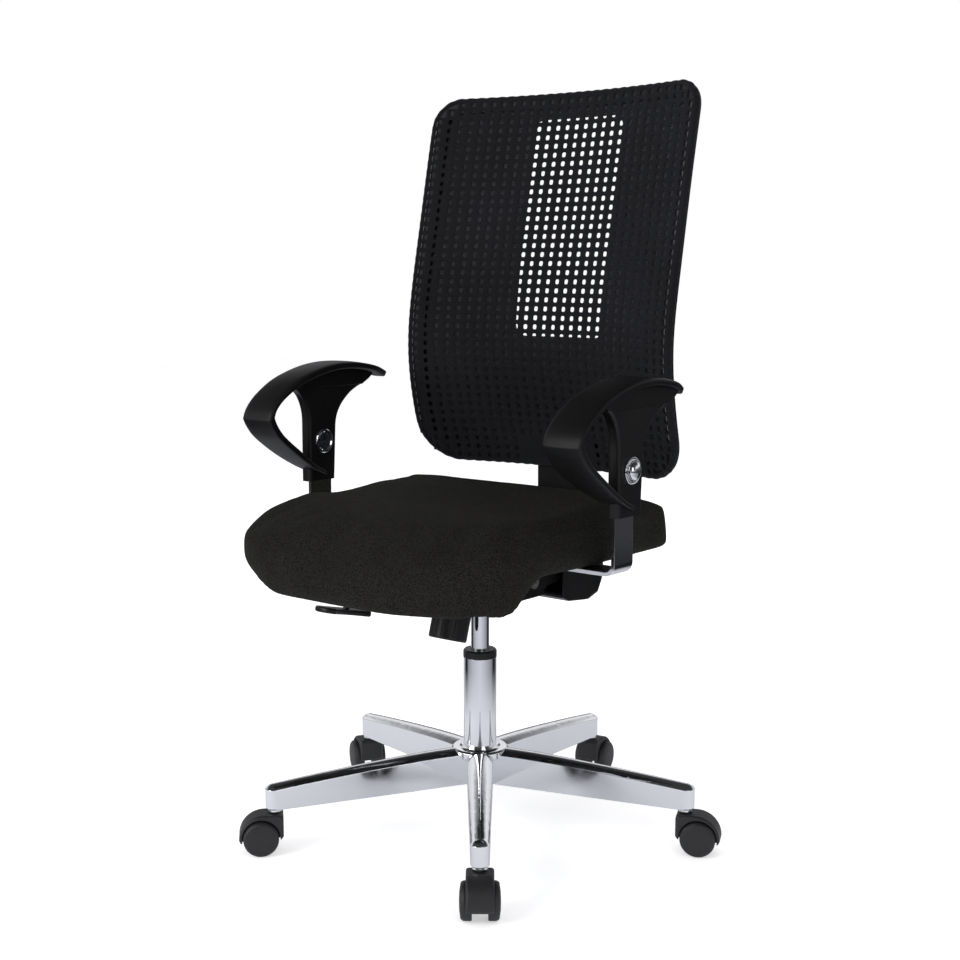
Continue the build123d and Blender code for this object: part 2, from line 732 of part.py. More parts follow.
def arm_pad():
    """Loop pad: a broad top band, a sharp nose and a strap that runs back to the sleeve."""
    x_low, x_high = PAD_X
    over = [(-187, 624), (-169, 651), (-121, 683), (-62, 700), (-5, 704), (58, 694), (92, 683)]
    under = [(76, 683), (18, 693), (-49, 692), (-109, 676), (-160, 652), (-178, 631)]
    top = side_plate(
        [
            Spline([Vector(*p) for p in over]),
            Line(over[-1], under[0]),
            Spline([Vector(*p) for p in under]),
            Line(under[-1], over[0]),
        ],
        x_low,
        x_high,
    )
    middle = (x_low + x_high) / 2
    top_plan = [
        Line((x_low, -190), (x_high, -190)),
        Line((x_high, -190), (x_high, -20)),
        Spline([(x_high, -20), (x_high - 3, 50), (middle + 17, 87)]),
        ThreePointArc((middle + 17, 87), (middle, 93), (middle - 17, 87)),
        Spline([(middle - 17, 87), (x_low + 3, 50), (x_low, -20)]),
        Line((x_low, -20), (x_low, -190)),
    ]
    top &= extrude(Pos(0, 0, 600) * make_face(top_plan), 120)
    outer = [(-187, 624), (-166, 596), (-120, 563), (-74, 538), (-40, 526)]
    inner = [(-40, 533), (-76, 547), (-117, 574), (-158, 603), (-178, 631)]
    strap = side_plate(
        [
            Spline([Vector(*p) for p in outer]),
            Line(outer[-1], inner[0]),
            Spline([Vector(*p) for p in inner]),
            Line(inner[-1], outer[0]),
        ],
        x_low,
        x_high,
    )
    end_half = 16.0
    strap_x = sum(SLEEVE_X) / 2
    strap_plan = [
        Line((x_low, -190), (x_high, -190)),
        Line((x_high, -190), (x_high, -168)),
        Spline([(x_high, -168), (x_high - 4, -115), (strap_x + end_half, -60)]),
        Line((strap_x + end_half, -60), (strap_x + end_half, -36)),
        Line((strap_x + end_half, -36), (strap_x - end_half, -36)),
        Line((strap_x - end_half, -36), (strap_x - end_half, -60)),
        Spline([(strap_x - end_half, -60), (x_low + 4, -115), (x_low, -168)]),
        Line((x_low, -168), (x_low, -190)),
    ]
    strap &= extrude(Pos(0, 0, 500) * make_face(strap_plan), 150)
    rib_edges = [
        Line((-103, SLEEVE_TOP_Z), (45, SLEEVE_TOP_Z)),
        Line((45, SLEEVE_TOP_Z), (66, 684)),
        Line((66, 684), (15, 694)),
        Line((15, 694), (-49, 694)),
        Line((-49, 694), (-109, 678)),
        Line((-109, 678), (-103, SLEEVE_TOP_Z)),
    ]
    rib = side_plate(rib_edges, SLEEVE_X[0] - 3, SLEEVE_X[1] + 3)
    nose = side_plate(outline([(-187, 624), (-180, 635.5), (-176, 627), (-179, 611)]), x_low, x_high)
    return top + nose + strap + rib - sleeve_body()


def arm_button():
    """Chrome dome button with the stem that works the latch in the sleeve."""
    y, z = BUTTON_AT
    x_face = SLEEVE_X[1]
    face = [
        (0, BAR_OUTER_X + 3.6),
        (6, BAR_OUTER_X + 3.6),
        (6, x_face + 3.4),
        (14.2, x_face + 3.4),
        (15.5, x_face + 4.6),
        (15.5, x_face + 6.4),
        (13.5, x_face + 7.6),
        (9, x_face + 9.4),
        (4, x_face + 10.3),
        (0, x_face + 10.5),
    ]
    return Pos(0, y, z) * (Rot(0, 90, 0) * spin(face))


def arm_cap():
    """Dished cap with a bright rim on the sleeve's inner face."""
    y, z = BUTTON_AT
    x_face = SLEEVE_X[0]
    face = [(0, 0), (19, 0), (19, 2.0), (17.6, 3.2), (15.5, 3.0), (13.5, 1.6), (0, 1.2)]
    return Pos(x_face, y, z) * (Rot(0, -90, 0) * spin(face))


def armrests(spots):
    pieces = {
        "bracket": arm_bracket(spots),
        "sleeve": arm_sleeve(),
        "pad": arm_pad(),
        "button": arm_button(),
        "cap": arm_cap(),
    }
    for name, piece in pieces.items():
        PARTS[f"arm_{name}_left"] = piece
        PARTS[f"arm_{name}_right"] = mirrored(piece)


# --- backrest ---------------------------------------------------------------------------------
def curved_slab(rows, depth_from, depth_to, half):
    """A plate that is hollow from side to side, from (height, side depth, middle depth) rows."""
    guide = Spline([Vector(side_y, middle_y, z) for z, side_y, middle_y in rows])
    sections = []
    for step in range(SLAB_SECTIONS):
        side_y, middle_y, z = guide @ (step / (SLAB_SECTIONS - 1))
        near_side, near_middle = side_y + depth_from, middle_y + depth_from
        far_side, far_middle = side_y + depth_to, middle_y + depth_to
        edges = [
            ThreePointArc((-half, near_side), (0, near_middle), (half, near_side)),
            Line((half, near_side), (half, far_side)),
            ThreePointArc((half, far_side), (0, far_middle), (-half, far_side)),
            Line((-half, far_side), (-half, near_side)),
        ]
        sections.append(Pos(0, 0, z) * make_face(edges))
    return loft(sections)


def back_outline(inset):
    """The backrest's front outline, extruded through its depth."""
    half = BACK_HALF_WIDTH - inset
    low, top = BACK_LOW_Z + inset, BACK_TOP_Z - inset
    r_top = max(BACK_TOP_CORNER_R - inset, 6)
    r_low = max(BACK_LOW_CORNER_R - inset, 6)
    edges = [
        Line((-half + r_low, low), (half - r_low, low)),
        RadiusArc((half - r_low, low), (half, low + r_low), -r_low),
        Line((half, low + r_low), (half, top - r_top)),
        RadiusArc((half, top - r_top), (half - r_top, top), -r_top),
        Line((half - r_top, top), (-half + r_top, top)),
        RadiusArc((-half + r_top, top), (-half, top - r_top), -r_top),
        Line((-half, top - r_top), (-half, low + r_low)),
        RadiusArc((-half, low + r_low), (-half + r_low, low), -r_low),
    ]
    face = Plane(origin=(0, 60, 0), x_dir=(1, 0, 0), z_dir=(0, -1, 0)) * make_face(edges)
    return extrude(face, 260, dir=(0, 1, 0))


def window_block():
    half, low, top = WINDOW
    solid = block((-half, 60, low), (half, 320, top))
    return fillet(solid.edges().filter_by(Axis.Y), WINDOW_CORNER_R)


def backrest():
    mesh_line = [(z, y, y + BACK_SAG) for z, y in BACK_SIDE]
    PARTS["back_mesh"] = curved_slab(mesh_line, 0, 1.2, BACK_HALF_WIDTH + 4) & back_outline(0)
    ring = curved_slab(mesh_line, 1.5, 11, BACK_HALF_WIDTH + 4) & back_outline(0.5)
    PARTS["back_frame"] = ring - back_outline(FRAME_WIDTH)
    shell = curved_slab(SHELL_LINE, 0, 3, BACK_HALF_WIDTH + 4) & back_outline(1.5)
    spine_notch = block((-SPINE_HALF_WIDTH - 3, 150, 500), (SPINE_HALF_WIDTH + 3, 300, 572))
    PARTS["back_shell"] = shell - window_block() - spine_notch
    room = GAP
    rear = SPINE_FRONT_Y + SPINE_THICK
    guide = block((-72, 196, 560), (72, rear + 5, 735))
    guide = fillet(guide.edges().filter_by(Axis.Z).group_by(Axis.Y)[-1], 6)
    guide -= curved_slab(SHELL_LINE, -60, 3.3, BACK_HALF_WIDTH)
    guide -= block(
        (-SPINE_HALF_WIDTH - room, SPINE_FRONT_Y - room, 550),
        (SPINE_HALF_WIDTH + room, rear + room, SPINE_TOP_Z + 4),
    )
    screws = []
    for x in (-64, 64):
        for z in (585, 710):
            guide -= rod((x, 214, z), (x, rear + 6, z), 2.55)
            head = rod((x, rear + 5, z), (x, rear + 7.5, z), 4.8)
            screws.append(rod((x, 214.5, z), (x, rear + 5, z), 2.5) + head)
    PARTS["height_guide"] = guide
    PARTS["back_screws"] = screws


def back_support():
    """Yoke, flat spine and the cover that closes the yoke below the seat."""
    y0, z0 = REAR_PIVOT
    low = z0 - 6
    bend = 34.0
    s = math.sqrt(0.5)
    outer_y = SPINE_FRONT_Y + SPINE_THICK
    mid = (outer_y - bend, low + bend)
    inner = bend - SPINE_THICK
    edges = [
        Line((98, low), (mid[0], low)),
        ThreePointArc((mid[0], low), (mid[0] + bend * s, mid[1] - bend * s), (outer_y, mid[1])),
        Line((outer_y, mid[1]), (outer_y, SPINE_TOP_Z)),
        Line((outer_y, SPINE_TOP_Z), (SPINE_FRONT_Y, SPINE_TOP_Z)),
        Line((SPINE_FRONT_Y, SPINE_TOP_Z), (SPINE_FRONT_Y, mid[1])),
        ThreePointArc(
            (SPINE_FRONT_Y, mid[1]),
            (mid[0] + inner * s, mid[1] - inner * s),
            (mid[0], low + SPINE_THICK),
        ),
        Line((mid[0], low + SPINE_THICK), (98, low + SPINE_THICK)),
        Line((98, low + SPINE_THICK), (98, low)),
    ]
    spine = side_plate(edges, -SPINE_HALF_WIDTH, SPINE_HALF_WIDTH)
    spine += block((-CHEEK_X - 5, 96, low - 2), (CHEEK_X + 5, 112, low + 14))
    ear = [
        ThreePointArc((y0, z0 + 13), (y0 - 13, z0), (y0, z0 - 13)),
        Line((y0, z0 - 13), (112, low - 2)),
        Line((112, low - 2), (112, low + 14)),
        Line((112, low + 14), (y0, z0 + 13)),
    ]
    for x in (CHEEK_X, -CHEEK_X - 5):
        spine += side_plate(ear, x, x + 5)
    spine -= rod((-80, y0, z0), (80, y0, z0), REAR_SHAFT_R + FIT)
    PARTS["back_spine"] = spine
    side = [
        (100, 352),
        (112, 346),
        (176, 339),
        (196, 345),
        (208, 366),
        (211, 392),
        (206, 418),
        (100, 418),
    ]
    inside = [
        (99, 356),
        (112, 350),
        (175, 343),
        (193, 348),
        (204, 367),
        (207, 392),
        (202, 414),
        (99, 414),
    ]
    cover = side_plate(outline(side), -84, 84)
    rims = cover.edges().filter_by(lambda e: abs(abs(e.center().X) - 84) < 1 and e.center().Y > 150)
    cover = fillet(rims, 9)
    cover -= side_plate(outline(inside), -80, 80)
    cover -= block((-SPINE_HALF_WIDTH - 1, 190, low - 1), (SPINE_HALF_WIDTH + 1, 230, mid[1] + 40))
    PARTS["spine_cover"] = cover


# --- build and write --------------------------------------------------------------------------
def main():
    PARTS["star_base"] = star_base()
    castors()
    column()
    mechanism()
    spots = seat()
    armrests(spots)
    backrest()
    back_support()
    os.makedirs("parts", exist_ok=True)
    for name, shape in PARTS.items():
        solid = Compound(children=[Part() + piece for piece in shape]) if isinstance(shape, list) else shape
        export_step(solid, os.path.join("parts", f"{name}.step"))


main()
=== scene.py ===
import bmesh
import bpy
import json
import math
import random
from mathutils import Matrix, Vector
from mathutils.bvhtree import BVHTree


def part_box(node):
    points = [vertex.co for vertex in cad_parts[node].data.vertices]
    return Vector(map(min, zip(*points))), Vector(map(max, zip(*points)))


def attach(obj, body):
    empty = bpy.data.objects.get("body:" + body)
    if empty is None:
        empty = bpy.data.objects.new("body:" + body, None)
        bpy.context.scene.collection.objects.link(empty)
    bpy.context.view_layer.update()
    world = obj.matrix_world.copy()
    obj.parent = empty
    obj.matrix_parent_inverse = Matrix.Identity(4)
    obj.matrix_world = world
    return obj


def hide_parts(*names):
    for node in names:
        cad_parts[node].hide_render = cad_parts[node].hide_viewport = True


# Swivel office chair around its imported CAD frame.  Units are metres, the floor is z = 0, the front
# is -Y and the sitter's left is +X.

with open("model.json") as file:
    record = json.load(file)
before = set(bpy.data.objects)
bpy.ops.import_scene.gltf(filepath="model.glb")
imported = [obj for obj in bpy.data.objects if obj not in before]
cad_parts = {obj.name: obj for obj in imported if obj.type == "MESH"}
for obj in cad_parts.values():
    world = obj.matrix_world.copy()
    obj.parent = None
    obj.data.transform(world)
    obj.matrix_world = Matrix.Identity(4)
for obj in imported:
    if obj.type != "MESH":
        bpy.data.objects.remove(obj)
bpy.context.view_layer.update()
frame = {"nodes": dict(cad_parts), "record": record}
nodes = frame["nodes"]
random.seed(7)

SIDES = (("left", 1.0), ("right", -1.0))

# Seat cover
VOXEL = 0.0054
SHRINK = 0.0045
SOFTENING = 20
FRONT_SOFTENING = 60
LAST_SOFTENING = 12
NOSE_START = -0.150
NOSE_FRONT = -0.349
NOSE_MIDDLE_Z = 0.450
NOSE_LOW_Z = 0.403
NOSE_FILL = 0.008
CORNER_CENTRE = (0.097, -0.188)
TUCK_LOW = (0.026, 0.012)  # at the -X corner, at the +X corner
TUCK_TOP = 0.020
CHIN_AT = (0.240, -0.220)
CHIN_REACH = 0.066
CHIN_DROP = 0.028
SWELL_CAP = 0.009
PRESSURE = 4.0
CLOTH_MASS = 0.4
CLOTH_STIFFNESS = 22
CLOTH_BENDING = 6
SIM_FRAMES = 20
PUCKER_DEPTH = 0.0011
SLACK_DEPTH = 0.0006
HEM_CENTRE_Y = -0.09
HEM_BINS = 120
HEM_INSET = 0.012
HEM_R = 0.0021

# Mesh back
COLUMN_PITCH = 0.0175
ROW_PITCH = 0.0140
HOLE_HALF = (0.0033, 0.0038)
HOLE_SQUARENESS = 0.66
HOLE_POINTS = 12
NET_THICK = 0.0011
NET_INSET = 0.0065
CLOSED_BELOW_Z = 0.580
CLOSED_HALF = 0.068
TOP_CORNER_R = 0.043
LOW_CORNER_R = 0.065
EDGE_THICK = 0.0008
EDGE_STEP = 0.0035
SCALLOP = 0.0013
STITCH_INSET = 0.0088
STITCH_LENGTH = 0.0075
STITCH_R = 0.00075

# Armrests
RISER_X = (0.2752, 0.3008)
RISER_MIDDLE = (0, -0.022, 0.679)
RISER_BEVEL = 0.0008
NOSE_CREASE = 0.85
LATCH_STEPS = 48

# Stage
FLOOR_HALF = 9.0
AIM = (0, 0, 0.55)
CAMERA_LENS = 57.283
CAMERA_AZIMUTH = 38.7
CAMERA_PITCH = 7.905
CAMERA_AWAY = 2.25126
CAMERA_HEIGHT = 0.8503


# --- small helpers -------------------------------------------------------------------------------
def smoothstep(low, high, value):
    t = min(max((value - low) / (high - low), 0.0), 1.0)
    return t * t * (3 - 2 * t)


def new_piece(name, verts, faces, body, material, smooth=True):
    """A mesh object that rides on a body, with its material."""
    mesh = bpy.data.meshes.new(name)
    mesh.from_pydata([tuple(v) for v in verts], [], faces)
    mesh.validate()
    mesh.polygons.foreach_set("use_smooth", [smooth] * len(mesh.polygons))
    mesh.update()
    obj = bpy.data.objects.new(name, mesh)
    bpy.context.scene.collection.objects.link(obj)
    mesh.materials.append(material)
    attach(obj, body)
    return obj


def recalc_normals(obj):
    work = bmesh.new()
    work.from_mesh(obj.data)
    bmesh.ops.recalc_face_normals(work, faces=work.faces)
    work.to_mesh(obj.data)
    work.free()


def applied(obj):
    """The object's mesh with its modifiers applied, and the modifiers removed."""
    graph = bpy.context.evaluated_depsgraph_get()
    mesh = bpy.data.meshes.new_from_object(obj.evaluated_get(graph))
    obj.modifiers.clear()
    obj.data = mesh


def subdivided(obj, levels):
    sub = obj.modifiers.new("fine", "SUBSURF")
    sub.levels = sub.render_levels = levels


def thickened(obj, thickness):
    thick = obj.modifiers.new("thick", "SOLIDIFY")
    thick.thickness = thickness
    thick.offset = -1.0


def only_material(obj, material):
    obj.data.materials.clear()
    obj.data.materials.append(material)


def skin(rings, width, capped=True, closed=False):
    """Faces between rings of width vertices each; capped closes the ends, closed joins last to first."""
    faces = []
    for n in range(rings if closed else rings - 1):
        ahead = (n + 1) % rings
        for k in range(width):
            m = (k + 1) % width
            faces.append((n * width + k, n * width + m, ahead * width + m, ahead * width + k))
    if capped:
        faces.append(tuple(range(width - 1, -1, -1)))
        faces.append(tuple((rings - 1) * width + k for k in range(width)))
    return faces


def catmull(points, t):
    """The point at t on the Catmull-Rom curve between the second and the third of four points."""
    p0, p1, p2, p3 = points
    return 0.5 * (2 * p1 + (p2 - p0) * t + (2 * p0 - 5 * p1 + 4 * p2 - p3) * t * t
                  + (3 * p1 - p0 - 3 * p2 + p3) * t * t * t)


def tube(points, radius_at, sides=10, closed=True):
    """Vertices and faces of a tube along points; radius_at gives the radius at each of them."""
    verts = []
    count = len(points)
    for i, p in enumerate(points):
        ahead = points[(i + 1) % count] if closed or i < count - 1 else p
        behind = points[i - 1] if closed or i > 0 else p
        along = (ahead - behind).normalized()
        across = along.cross(Vector((0, 0, 1)))
        across = across.normalized() if across.length > 1e-6 else Vector((1, 0, 0))
        up = across.cross(along).normalized()
        for k in range(sides):
            a = 2 * math.pi * k / sides
            verts.append(p + (across * math.cos(a) + up * math.sin(a)) * radius_at(i))
    return verts, skin(count, sides, not closed, closed)


def spline(points, count):
    """Points evenly spaced in parameter on a Catmull-Rom curve through the given ones."""
    out = []
    spans = len(points) - 1
    for n in range(count):
        t = n / (count - 1) * spans
        i = min(int(t), spans - 1)
        t -= i
        out.append(catmull([Vector(points[min(max(i + k, 0), spans)]) for k in (-1, 0, 1, 2)], t))
    return out


# --- materials -----------------------------------------------------------------------------------
class Nodes:
    """Builds one node material, with object coordinates as the texture space."""

    def __init__(self, name, rough, metallic=0.0, **sockets):
        self.material = bpy.data.materials.new(name)
        self.material.use_nodes = True
        self.tree = self.material.node_tree
        self.shader = self.tree.nodes["Principled BSDF"]
        self.shader.inputs["Roughness"].default_value = rough
        self.shader.inputs["Metallic"].default_value = metallic
        for key, value in sockets.items():
            self.shader.inputs[key.replace("_", " ")].default_value = value
        self.space = self.add("ShaderNodeTexCoord").outputs["Object"]

    def add(self, kind, **props):
        node = self.tree.nodes.new(kind)
        for key, value in props.items():
            setattr(node, key, value)
        return node

    def link(self, a, b):
        self.tree.links.new(a, b)

    def stretched(self, scale, turn=(0, 0, 0)):
        node = self.add("ShaderNodeMapping")
        node.inputs["Scale"].default_value = scale
        node.inputs["Rotation"].default_value = [math.radians(a) for a in turn]
        self.link(self.space, node.inputs["Vector"])
        return node.outputs["Vector"]

    def noise(self, scale, detail=3.0, vector=None):
        node = self.add("ShaderNodeTexNoise")
        node.inputs["Scale"].default_value = scale
        node.inputs["Detail"].default_value = detail
        self.link(vector or self.space, node.inputs["Vector"])
        return node.outputs["Fac"]

    def wave(self, scale, vector=None, direction="X", distortion=0.0):
        node = self.add("ShaderNodeTexWave", bands_direction=direction)
        node.inputs["Scale"].default_value = scale
        node.inputs["Distortion"].default_value = distortion
        self.link(vector or self.space, node.inputs["Vector"])
        return node.outputs["Fac"]

    def cells(self, scale):
        node = self.add("ShaderNodeTexVoronoi", feature="F1")
        node.inputs["Scale"].default_value = scale
        self.link(self.space, node.inputs["Vector"])
        return node.outputs["Distance"]

    def span(self, value, from_low, from_high, to_low, to_high):
        node = self.add("ShaderNodeMapRange")
        self.link(value, node.inputs["Value"])
        limits = (("From Min", from_low), ("From Max", from_high), ("To Min", to_low), ("To Max", to_high))
        for key, number in limits:
            node.inputs[key].default_value = number
        return node.outputs["Result"]

    def math(self, operation, a, b):
        node = self.add("ShaderNodeMath", operation=operation)
        for socket, value in zip(node.inputs, (a, b)):
            if isinstance(value, (int, float)):
                socket.default_value = value
            else:
                self.link(value, socket)
        return node.outputs["Value"]

    def ramp(self, value, stops):
        node = self.add("ShaderNodeValToRGB")
        while len(node.color_ramp.elements) < len(stops):
            node.color_ramp.elements.new(0.5)
        for element, (at, colour) in zip(node.color_ramp.elements, stops):
            element.position = at
            element.color = (*colour, 1.0)
        self.link(value, node.inputs["Fac"])
        return node.outputs["Color"]

    def mix(self, factor, a, b):
        node = self.add("ShaderNodeMix", data_type="RGBA")
        sockets = [s for s in node.inputs if s.type == "RGBA"]
        self.link(factor, node.inputs["Factor"])
        for socket, value in zip(sockets, (a, b)):
            if isinstance(value, (tuple, list)):
                socket.default_value = (*value, 1.0)
            else:
                self.link(value, socket)
        return next(s for s in node.outputs if s.type == "RGBA")

    def bump(self, height, distance, strength=1.0, under=None):
        node = self.add("ShaderNodeBump")
        node.inputs["Strength"].default_value = strength
        node.inputs["Distance"].default_value = distance
        self.link(height, node.inputs["Height"])
        if under is not None:
            self.link(under, node.inputs["Normal"])
        return node.outputs["Normal"]

    def round_edges(self, radius):
        node = self.add("ShaderNodeBevel")
        node.samples = 4
        node.inputs["Radius"].default_value = radius
        return node.outputs["Normal"]

    def finish(self, colour=None, rough=None, normal=None):
        for key, socket in (("Base Color", colour), ("Roughness", rough), ("Normal", normal)):
            if socket is not None:
                self.link(socket, self.shader.inputs[key])
        return self.material


def chrome(name, tint, rough, waviness):
    """Bright plated metal: faint smears in the gloss, a slight waviness and softened edges."""
    m = Nodes(name, rough, 1.0)
    smear = m.noise(38.0, 4.0, m.stretched((1, 1, 0.25)))
    colour = m.mix(m.noise(9.0), tint, tuple(c * 0.93 for c in tint))
    gloss = m.span(smear, 0.3, 0.7, rough * 0.6, rough * 1.7)
    normal = m.bump(m.noise(26.0, 2.0), waviness, 1.0, m.round_edges(0.0012))
    return m.finish(colour, gloss, normal)


def steel():
    m = Nodes("steel", 0.3, 1.0)
    brushed = m.noise(60.0, 3.0, m.stretched((14, 1, 14)))
    colour = m.mix(brushed, (0.42, 0.42, 0.43), (0.6, 0.6, 0.61))
    return m.finish(colour, m.span(brushed, 0.2, 0.8, 0.22, 0.42), m.bump(brushed, 0.00004))


def plastic(name, dark, light, rough, grain, grain_depth, edge=0.0007, **sockets):
    """Moulded plastic: a fine spark-eroded grain, cloudy colour, rubbed edges."""
    m = Nodes(name, rough, **sockets)
    cloud = m.noise(11.0, 5.0)
    fine = m.noise(grain, 2.0)
    edges = m.round_edges(edge)
    geometry = m.add("ShaderNodeNewGeometry")
    turn = m.add("ShaderNodeVectorMath", operation="DOT_PRODUCT")
    m.link(edges, turn.inputs[0])
    m.link(geometry.outputs["Normal"], turn.inputs[1])
    sharp = m.span(turn.outputs["Value"], 0.99, 0.86, 0.0, 1.0)
    rubbed = m.math("MULTIPLY", sharp, m.span(cloud, 0.35, 0.65, 0.35, 1.0))
    body = m.mix(cloud, dark, light)
    colour = m.mix(rubbed, body, tuple(c * 2.6 for c in light))
    gloss = m.span(cloud, 0.3, 0.7, rough - 0.05, rough + 0.06)
    return m.finish(colour, gloss, m.bump(fine, grain_depth, 1.0, edges))


def seat_fabric():
    """Black woven cover: small raised crossings of the yarn, with single lighter flecks."""
    m = Nodes("seat_fabric", 0.92, Sheen_Weight=0.02, Sheen_Roughness=0.45, Specular_IOR_Level=0.06)
    m.shader.inputs["Sheen Tint"].default_value = (0.62, 0.6, 0.52, 1)
    crossing = m.span(m.cells(640.0), 0.15, 0.75, 1.0, 0.0)
    yarn = m.noise(1300.0, 2.0)
    weave = m.math("MULTIPLY", crossing, m.span(yarn, 0.3, 0.7, 0.5, 1.0))
    flecks = m.span(m.noise(900.0, 1.0), 0.58, 0.74, 0.0, 1.0)
    cloud = m.noise(14.0, 4.0)
    ground = m.mix(weave, (0.0045, 0.0044, 0.0038), (0.0225, 0.022, 0.02))
    showing = m.math("MULTIPLY", flecks, m.span(cloud, 0.3, 0.7, 0.25, 0.8))
    lifted = m.mix(showing, ground, (0.045, 0.044, 0.039))
    normal = m.bump(weave, 0.00045, 0.9)
    return m.finish(lifted, m.span(cloud, 0.3, 0.7, 0.86, 0.97), normal)


def net_fabric():
    """Black warp knit of the back: fine vertical courses with a bluish sheen."""
    m = Nodes("net_fabric", 0.8, Sheen_Weight=0.06, Sheen_Roughness=0.4, Specular_IOR_Level=0.15)
    m.shader.inputs["Sheen Tint"].default_value = (0.6, 0.64, 0.75, 1)
    courses = m.wave(420.0, m.stretched((1, 0.2, 1)), "X", 1.6)
    rows = m.wave(520.0, m.stretched((1, 0.2, 1)), "Z", 2.2)
    yarn = m.math("MULTIPLY", courses, m.span(rows, 0.0, 1.0, 0.5, 1.0))
    cloud = m.noise(9.0, 4.0)
    ground = m.mix(yarn, (0.0028, 0.0029, 0.0039), (0.0082, 0.0085, 0.0112))
    colour = m.mix(m.span(cloud, 0.35, 0.7, 0.0, 0.5), ground, (0.0105, 0.0109, 0.0138))
    return m.finish(colour, m.span(cloud, 0.3, 0.7, 0.72, 0.86), m.bump(yarn, 0.0003, 0.8))


def thread():
    m = Nodes("thread", 0.7, Sheen_Weight=0.3)
    ply = m.wave(700.0, m.stretched((1, 1, 1), (0, 30, 0)), "DIAGONAL", 1.0)
    colour = m.mix(ply, (0.03, 0.03, 0.034), (0.07, 0.071, 0.08))
    return m.finish(colour, m.span(ply, 0, 1, 0.6, 0.8), m.bump(ply, 0.0002))


def floor_material():
    """Pale floor, lit a little from below like a light table; mirrors see on it a painted reflection, dimmed,
    in wide dark fans.
    """
    m = Nodes("floor", 0.85, Specular_IOR_Level=0.05)
    cloud = m.noise(0.6, 2.0)
    pale = m.mix(cloud, (0.93, 0.93, 0.93), (0.95, 0.95, 0.95))
    around = m.add("ShaderNodeTexGradient", gradient_type="RADIAL")
    m.link(m.space, around.inputs["Vector"])
    # Painted reflection: mirrors see the floor in dark, grey and bright fans round the chair, and dark far
    # off.
    grey, dark = (0.55, 0.56, 0.6), (0.012, 0.012, 0.014)
    dim, bright = (0.3, 0.305, 0.33), (0.72, 0.73, 0.77)
    fans = m.ramp(around.outputs["Fac"], ((0.0, grey), (0.02, dark), (0.08, dark), (0.12, dim), (0.25, grey),
                                          (0.36, bright), (0.47, grey), (0.6, dim), (0.63, dark), (0.7, dark),
                                          (0.76, dim), (0.88, grey)))
    away = m.add("ShaderNodeVectorMath", operation="LENGTH")
    m.link(m.space, away.inputs[0])
    painted_reflection = m.mix(m.span(away.outputs["Value"], 0.6, 0.95, 0.0, 1.0), (0.86, 0.87, 0.91), fans)
    painted_reflection = m.mix(m.span(away.outputs["Value"], 2.2, 2.9, 0.0, 1.0), painted_reflection, (0.05, 0.05, 0.055))
    mirrored = m.add("ShaderNodeLightPath").outputs["Is Glossy Ray"]
    m.link(m.mix(mirrored, (1.0, 1.0, 1.0), (0.0, 0.0, 0.0)), m.shader.inputs["Emission Color"])
    m.shader.inputs["Emission Strength"].default_value = 0.42
    return m.finish(m.mix(mirrored, pale, painted_reflection), m.span(cloud, 0.3, 0.7, 0.8, 0.9))


def black(name, dark, light, rough, grain, grain_depth, specular, edge=0.0007):
    return plastic(name, dark, light, rough, grain, grain_depth, edge, Specular_IOR_Level=specular)


MATERIALS = {
    "polished_aluminium": chrome("polished_aluminium", (0.86, 0.87, 0.89), 0.07, 0.00012),
    "chrome": chrome("chrome", (0.83, 0.84, 0.87), 0.06, 0.00004),
    "steel": steel(),
    "black_metal": black("black_metal", (0.003, 0.003, 0.0033), (0.0056, 0.0056, 0.006),
                         0.34, 700.0, 0.00006, 0.25),
    "black_plastic": black("black_plastic", (0.0028, 0.0029, 0.0033), (0.0055, 0.0056, 0.0062),
                           0.36, 900.0, 0.00007, 0.34),
    "gloss_rim": black("gloss_rim", (0.0025, 0.0025, 0.003), (0.0046, 0.0046, 0.0054),
                       0.27, 600.0, 0.00005, 0.3),
    "soft_pad": black("soft_pad", (0.0026, 0.0027, 0.0031), (0.005, 0.0051, 0.0057),
                      0.46, 1100.0, 0.00008, 0.22, 0.001),
    "castor_plastic": black("castor_plastic", (0.0075, 0.0075, 0.0085), (0.0145, 0.0145, 0.0162),
                            0.5, 1300.0, 0.00014, 0.5),
    "guide_plastic": plastic("guide_plastic", (0.46, 0.46, 0.43), (0.55, 0.55, 0.52), 0.45, 800.0, 0.00004),
    "seat_fabric": seat_fabric(),
    "mesh_fabric": net_fabric(),
}
THREAD = thread()


